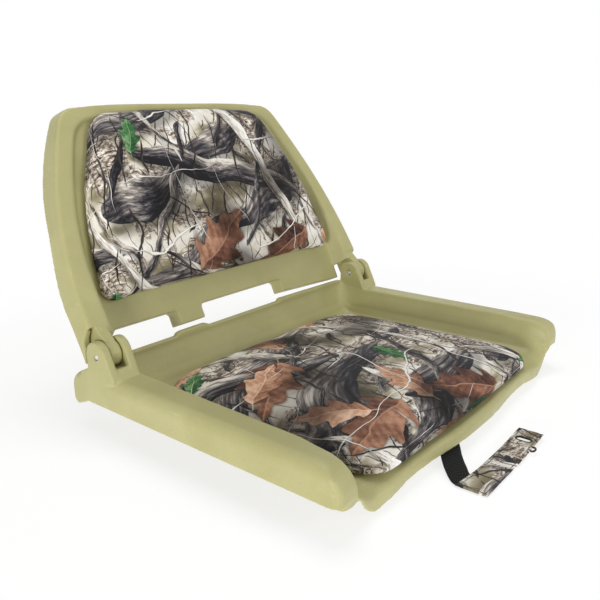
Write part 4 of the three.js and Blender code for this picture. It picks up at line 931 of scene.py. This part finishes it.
def moulded_copy(node_name, name, body, keep, flare_rounds=0):
    """The shell with rounded edges. Keep is the share of its faces that is left in the end."""
    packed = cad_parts[node_name].data
    made = new_object(name, points_of(packed), [tuple(face.vertices) for face in packed.polygons])

    def merge(bm):
        bmesh.ops.remove_doubles(bm, verts=bm.verts, dist=0.01 * MM)

    edit_mesh(made.data, merge)
    sharp_skin(made, SKIN_CELL)
    if flare_rounds:
        shares = [close_to(points_of(made.data), middle, reach) for middle, reach in FLARES]
        settled(made, flare_rounds, share=np.maximum(*shares))
    settled(made, 14, back=0.3)
    fewer = made.modifiers.new("fewer", "DECIMATE")
    fewer.ratio = keep
    applied(made)
    all_smooth(made)
    hand_over(made, polyethylene, body, "moulded_shell", node_name)
    print(name, "faces:", len(made.data.polygons))


moulded_copy("seat_shell", "seat_moulding", "seat", keep=0.19, flare_rounds=160)
moulded_copy("back_shell", "back_moulding", "back", keep=0.26)

# %% [markdown]
# ## Hinge pins and screws
#
# A pin is a turned steel rod with domed ends, and its outer end shows as a bright dot in the
# ear's bore. The pan head screws have a cross recess. One screw is turned, its recess is cut
# out once, and Geometry Nodes puts a copy on each point of a list.

# %% Hinge pins and cushion screws
# radius and height in mm
PIN_PROFILE = [(0, 0), (2.6, 0), (3, 0.5), (3, 28), (3, 29.2), (2.7, 29.9), (1.6, 30.3), (0, 30.4)]
for side, name in ((-1, "hinge_pin_left"), (1, "hinge_pin_right")):
    pin = lathe(name.replace("hinge_", "turned_"), [(r * MM, h * MM) for r, h in PIN_PROFILE])
    inner_end = Vector((side * 199, 133, 84)) * MM
    pin.data.transform(Matrix.Translation(inner_end) @ Matrix.Rotation(side * math.pi / 2, 4, "Y"))
    hand_over(pin, stainless, "seat", "stainless", name)


HEAD, HEAD_HEIGHT, SHANK, SHANK_LENGTH = 6 * MM, 3.4 * MM, 2.9 * MM, 19 * MM


def cross_screw(name):
    """A pan head screw that points up along Z, with its head's underside at height 0."""
    top = -HEAD_HEIGHT
    dome = [(0, top), (0.45 * HEAD, top + 0.1 * HEAD_HEIGHT), (0.8 * HEAD, top + 0.35 * HEAD_HEIGHT)]
    rim = [(HEAD, -0.3 * HEAD_HEIGHT), (HEAD, 0)]
    shank = [(SHANK, 0), (SHANK, SHANK_LENGTH - SHANK / 2), (SHANK / 2, SHANK_LENGTH), (0, SHANK_LENGTH)]
    made = lathe(name, dome + rim + shank, sides=28)
    arm, reach, depth = 0.13 * HEAD, 0.5 * HEAD, 0.62 * HEAD_HEIGHT
    quarter = [(arm, arm), (reach, arm), (reach, -arm)]
    plus = []
    for _ in range(4):
        plus += quarter
        quarter = [(y, -x) for x, y in quarter]
    cut_out(made, plus, top - 1 * MM, top + depth)
    made.data.set_sharp_from_angle(angle=math.radians(40))
    return made


def copies_tree(item, finish):
    """A tree that puts a copy of item on every point, turned by one rotation."""
    tree = bpy.data.node_groups.new("copies", "GeometryNodeTree")
    sockets = tree.interface
    sockets.new_socket("Spots", in_out="INPUT", socket_type="NodeSocketGeometry")
    turning = sockets.new_socket("Turn", in_out="INPUT", socket_type="NodeSocketRotation").identifier
    sockets.new_socket("Screws", in_out="OUTPUT", socket_type="NodeSocketGeometry")
    given = tree.nodes.new("NodeGroupInput").outputs
    source = add_node(tree, "GeometryNodeObjectInfo", {"Object": item})
    laid = add_node(tree, "GeometryNodeInstanceOnPoints", {
        "Points": given["Spots"], "Instance": source.outputs["Geometry"], "Rotation": given["Turn"]})
    real = add_node(tree, "GeometryNodeRealizeInstances", {"Geometry": laid.outputs[0]})
    finished = add_node(tree, "GeometryNodeSetMaterial", {
        "Geometry": real.outputs[0], "Material": finish})
    output = tree.nodes.new("NodeGroupOutput")
    tree.links.new(finished.outputs[0], output.inputs[0])
    return tree, turning


def screws(name, spots, degrees, body, replaced):
    """One mesh with a screw at each spot, turned about X."""
    item = cross_screw(name + "_item")
    made = new_object(name, spots, [])
    copies = made.modifiers.new("copies", "NODES")
    copies.node_group, turning = copies_tree(item, stainless)
    copies[turning] = (math.radians(degrees), 0, 0)
    applied(made)
    bpy.data.objects.remove(item)
    hand_over(made, stainless, body, "stainless", *[f"{replaced}_{n}" for n in range(1, 5)])
    print(name, "faces:", len(made.data.polygons))


RECLINE_DEGREES = 24
RECLINE = math.radians(RECLINE_DEGREES)
PANEL_FOOT = Vector((0, 149.5, 72)) * MM
panel_up = Vector((0, math.sin(RECLINE), math.cos(RECLINE)))
panel_out = Vector((0, -math.cos(RECLINE), math.sin(RECLINE)))
seat_spots = [Vector((x, y, 15.7)) * MM for y in (-75, 55) for x in (-105, 105)]
back_spots = [PANEL_FOOT + Vector((x, 0, 0)) * MM + (s * panel_up - 9.3 * panel_out) * MM
              for s in (98, 205) for x in (-100, 100)]
screws("seat_screws", seat_spots, 0, "seat", "seat_cushion_screw")
screws("back_screws", back_spots, 90 - RECLINE_DEGREES, "back", "back_cushion_screw")

# %% [markdown]
# ## The cushions
#
# A cushion is a sheet of cloth stretched over foam and stapled under a board. Its look is
# the tension: a smooth crown, sides that roll in, and small puckers where the cloth is
# gathered round the corners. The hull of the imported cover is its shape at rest. Its sides are
# filled out by a few millimetres, it is remeshed into even squares, and a cloth simulation
# with pressure blows it up, so that the crown finds its own curve. The pressure is checked by
# a greatest way for each point. Points near the base stay where the board holds them.

# %% Cushion helpers
CAP, VOXEL, HOLD_HEIGHT = 3.2 * MM, 4.5 * MM, 7 * MM
PRESSURE, CLOTH_STEPS = 4, 20
PUCKER_DEPTH, PUCKER_PITCH = 1.1 * MM, 13 * MM


def carried(points, matrix):
    """Rows of points, each taken through a matrix."""
    matrix = np.array(matrix)
    return points @ matrix[:3, :3].T + matrix[:3, 3]


def hull_of(node_name, name, matrix, foot, belly, corner, shift, trim=0):
    """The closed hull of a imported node, in the frame of matrix, full at its sides and corners."""
    points = carried(points_of(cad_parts[node_name].data), matrix.inverted())
    made = new_object(name, points, [])

    def wrap(bm):
        hull = bmesh.ops.convex_hull(bm, input=bm.verts)
        inner = [v for v in hull["geom_interior"] if isinstance(v, bmesh.types.BMVert)]
        bmesh.ops.delete(bm, geom=inner, context="VERTS")
        loose = [v for v in bm.verts if not v.link_faces]
        bmesh.ops.delete(bm, geom=loose, context="VERTS")

    edit_mesh(made.data, wrap)
    places = points_of(made.data)
    middle = (places.min(0) + places.max(0)) / 2
    share = (places - middle) / ((places.max(0) - places.min(0)) / 2)
    height = (share[:, 2] + 1) / 2
    reach = foot + (belly - foot) * np.sin(np.pi * np.clip(height, 0, 1))
    reach += corner * (share[:, 0] * share[:, 1]) ** 2
    places[:, :2] += share[:, :2] * reach[:, None] + np.array(shift)
    places[:, 0] -= trim * np.maximum(share[:, 0], 0)
    move_points(made.data, places)
    return made


def blown_up(made, cap):
    """Cloth with pressure and no gravity, whose points may move by cap at most."""
    start = points_of(made.data)
    base = start[:, 2].min()
    cloth = made.modifiers.new("cloth", "CLOTH")
    cloth.settings.use_pressure = True
    cloth.settings.uniform_pressure_force = PRESSURE
    cloth.settings.effector_weights.gravity = 0
    cloth.point_cache.frame_start, cloth.point_cache.frame_end = 1, CLOTH_STEPS
    for step in range(1, CLOTH_STEPS + 1):
        bpy.context.scene.frame_set(step)
    applied(made)
    bpy.context.scene.frame_set(1)
    moved = points_of(made.data) - start
    length = np.linalg.norm(moved, axis=1, keepdims=True)
    moved *= np.minimum(1, cap / np.maximum(length, 1e-9))
    held = np.clip((start[:, 2:3] - base) / HOLD_HEIGHT, 0, 1)
    move_points(made.data, start + moved * held * held * (3 - 2 * held))


# %% [markdown]
# Puckers are added after the simulation, because the remesh would smooth them out. They run
# up the side from the base, are deepest at the corners, and fade on the crown. The print
# needs flat coordinates in metres. On the crown these are the pad's own x and y, and on the
# sides the drop below the crown is added outwards, so that the print doesn't smear there.

# %% Puckers and the print's coordinates
def pucker(made, depth, pitch, seed):
    places, normals = points_of(made.data), normals_of(made.data)
    low, high = places.min(0), places.max(0)
    middle, half = (low + high) / 2, (high - low) / 2
    round_it = np.arctan2(places[:, 1] - middle[1], places[:, 0] - middle[0])
    share = (places[:, 2] - low[2]) / (high[2] - low[2])
    corner = np.abs((places[:, 0] - middle[0]) / half[0] * (places[:, 1] - middle[1]) / half[1])
    arc = round_it * half[:2].mean()
    wave = np.array([noise.noise(Vector((a / pitch, s * 1.2, seed))) for a, s in zip(arc, share)])
    side = np.clip(1 - np.abs(normals[:, 2]), 0, 1) * np.clip(1.5 - 1.7 * share, 0, 1)
    amount = depth * wave * side * (0.35 + 1.3 * np.clip(corner, 0, 1))
    move_points(made.data, places + normals * amount[:, None])


def lay_print(made):
    places, normals = points_of(made.data), normals_of(made.data)
    drop = places[:, 2].max() - places[:, 2]
    aside = normals[:, :2] * np.clip(1.4 - np.maximum(normals[:, 2:3], 0), 0, 1)
    with_flat(made, places[:, :2] + aside * drop[:, None])


def cushion(name, body, matrix, material, seed, **fullness):
    made = hull_of(name + "_cover", name, matrix, **fullness)
    even_skin(made, VOXEL)
    settled(made, 3)
    blown_up(made, CAP)
    settled(made, 2)
    finer = made.modifiers.new("finer", "SUBSURF")
    finer.levels = finer.render_levels = 1
    applied(made)
    pucker(made, PUCKER_DEPTH, PUCKER_PITCH, seed)
    lay_print(made)
    move_points(made.data, carried(points_of(made.data), matrix))
    all_smooth(made)
    hand_over(made, material, body, "cushion_cover", *[name + part for part in ("_cover", "_foam", "_board")])
    print(name, "points:", len(made.data.vertices))


# %% Seat cushion and back cushion
panel_axes = Matrix((Vector((1, 0, 0)), panel_up, panel_out)).transposed().to_4x4()
panel_frame = Matrix.Translation(PANEL_FOOT) @ panel_axes
cushion("seat_cushion", "seat", Matrix.Identity(4), cushion_cloth, 3.1,
        foot=5 * MM, belly=6 * MM, corner=6 * MM, shift=(-3 * MM, -1 * MM), trim=10 * MM)
cushion("back_cushion", "back", panel_frame, back_cloth, 8.6,
        foot=5 * MM, belly=8 * MM, corner=4 * MM, shift=(-2.5 * MM, 0))

# %% [markdown]
# ## The stage
#
# The seat stands on white paper between wide soft lamps: a low one from the left, one from the
# front and one from above. The paper shines softly, as on a light table: that lights the
# rails' outer sides from below, and the pan's inner walls stay darker. To the camera the paper
# is a sum of that shine and of its own grey surface, so it is white, and soft grey below the
# seat. The camera and mirrors see a plain white world. What it sheds on matt surfaces is dim.

# %% Floor, backdrop and lamps
FLOOR_REACH = 3.0


def white_paper():
    """Paper that shines from within. The camera sees it white, with a soft shadow."""
    material, tree, shader = new_material("white_paper", {
        "Roughness": 0.9, "Specular IOR Level": 0.1,
        "Emission Color": (1, 1, 1, 1), "Emission Strength": 0.55})
    place = object_place(tree)
    fibre = speckle(tree, place, 2 * MM, detail=3)
    tree.links.new(ramp(tree, fibre, [(0.3, "#f0f0f0"), (0.7, "#f6f6f6")]), shader.inputs["Base Color"])
    path = add_node(tree, "LightPath")
    seen = maths(tree, "MAXIMUM", path.outputs["Is Camera Ray"], path.outputs["Is Glossy Ray"])
    distance = add_node(tree, "VectorMath", {0: place}, operation="LENGTH").outputs["Value"]
    far = band(tree, distance, 0.35, 0.75)
    shine = add_node(tree, "Emission", {"Color": (1, 1, 1, 1), "Strength": 0.76})
    matt = add_node(tree, "BsdfDiffuse", {"Color": colour("#929292")})
    lit = add_node(tree, "AddShader", {0: shine.outputs[0], 1: matt.outputs[0]})
    white = add_node(tree, "Emission", {"Color": (1, 1, 1, 1), "Strength": 1.0})
    near_white = add_node(tree, "MixShader", {0: far, 1: lit.outputs[0], 2: white.outputs[0]})
    blend = add_node(tree, "MixShader", {0: seen, 1: shader.outputs[0], 2: near_white.outputs[0]})
    tree.links.new(blend.outputs[0], tree.nodes["Material Output"].inputs["Surface"])
    return material


floor = new_object("floor", [(-FLOOR_REACH, -FLOOR_REACH, 0), (FLOOR_REACH, -FLOOR_REACH, 0),
                             (FLOOR_REACH, FLOOR_REACH, 0), (-FLOOR_REACH, FLOOR_REACH, 0)], [(0, 1, 2, 3)])
dress(floor, white_paper())

world = bpy.data.worlds.new("studio")
bpy.context.scene.world = world
world.use_nodes = True
sky = world.node_tree
background = sky.nodes["Background"]
path = add_node(sky, "LightPath")
seen = maths(sky, "MAXIMUM", path.outputs["Is Camera Ray"], path.outputs["Is Glossy Ray"])
seen = maths(sky, "MAXIMUM", seen, path.outputs["Is Transmission Ray"])
WORLD_LEVEL = 0.29
background.inputs["Color"].default_value = (1, 1, 1, 1)
sky.links.new(maths(sky, "MULTIPLY_ADD", seen, 1 - WORLD_LEVEL, WORLD_LEVEL), background.inputs["Strength"])


def soft_lamp(name, place, target, size, power):
    lamp = bpy.data.objects.new(name, bpy.data.lights.new(name, "AREA"))
    bpy.context.scene.collection.objects.link(lamp)
    lamp.data.shape, lamp.data.size, lamp.data.energy = "DISK", size, power
    lamp.location = place
    lamp.rotation_euler = (Vector(target) - Vector(place)).to_track_quat("-Z", "Y").to_euler()
    return lamp


soft_lamp("key", (-1.4, -0.35, 0.15), (0, 0, 0.1), 0.3, 9)
soft_lamp("front", (0.2, -1.6, 0.7), (0, 0, 0.1), 1.0, 9)
soft_lamp("top", (0.1, 0.2, 1.8), (0, 0, 0), 1.2, 13.5)
view = bpy.context.scene.view_settings
view.view_transform = "Standard"
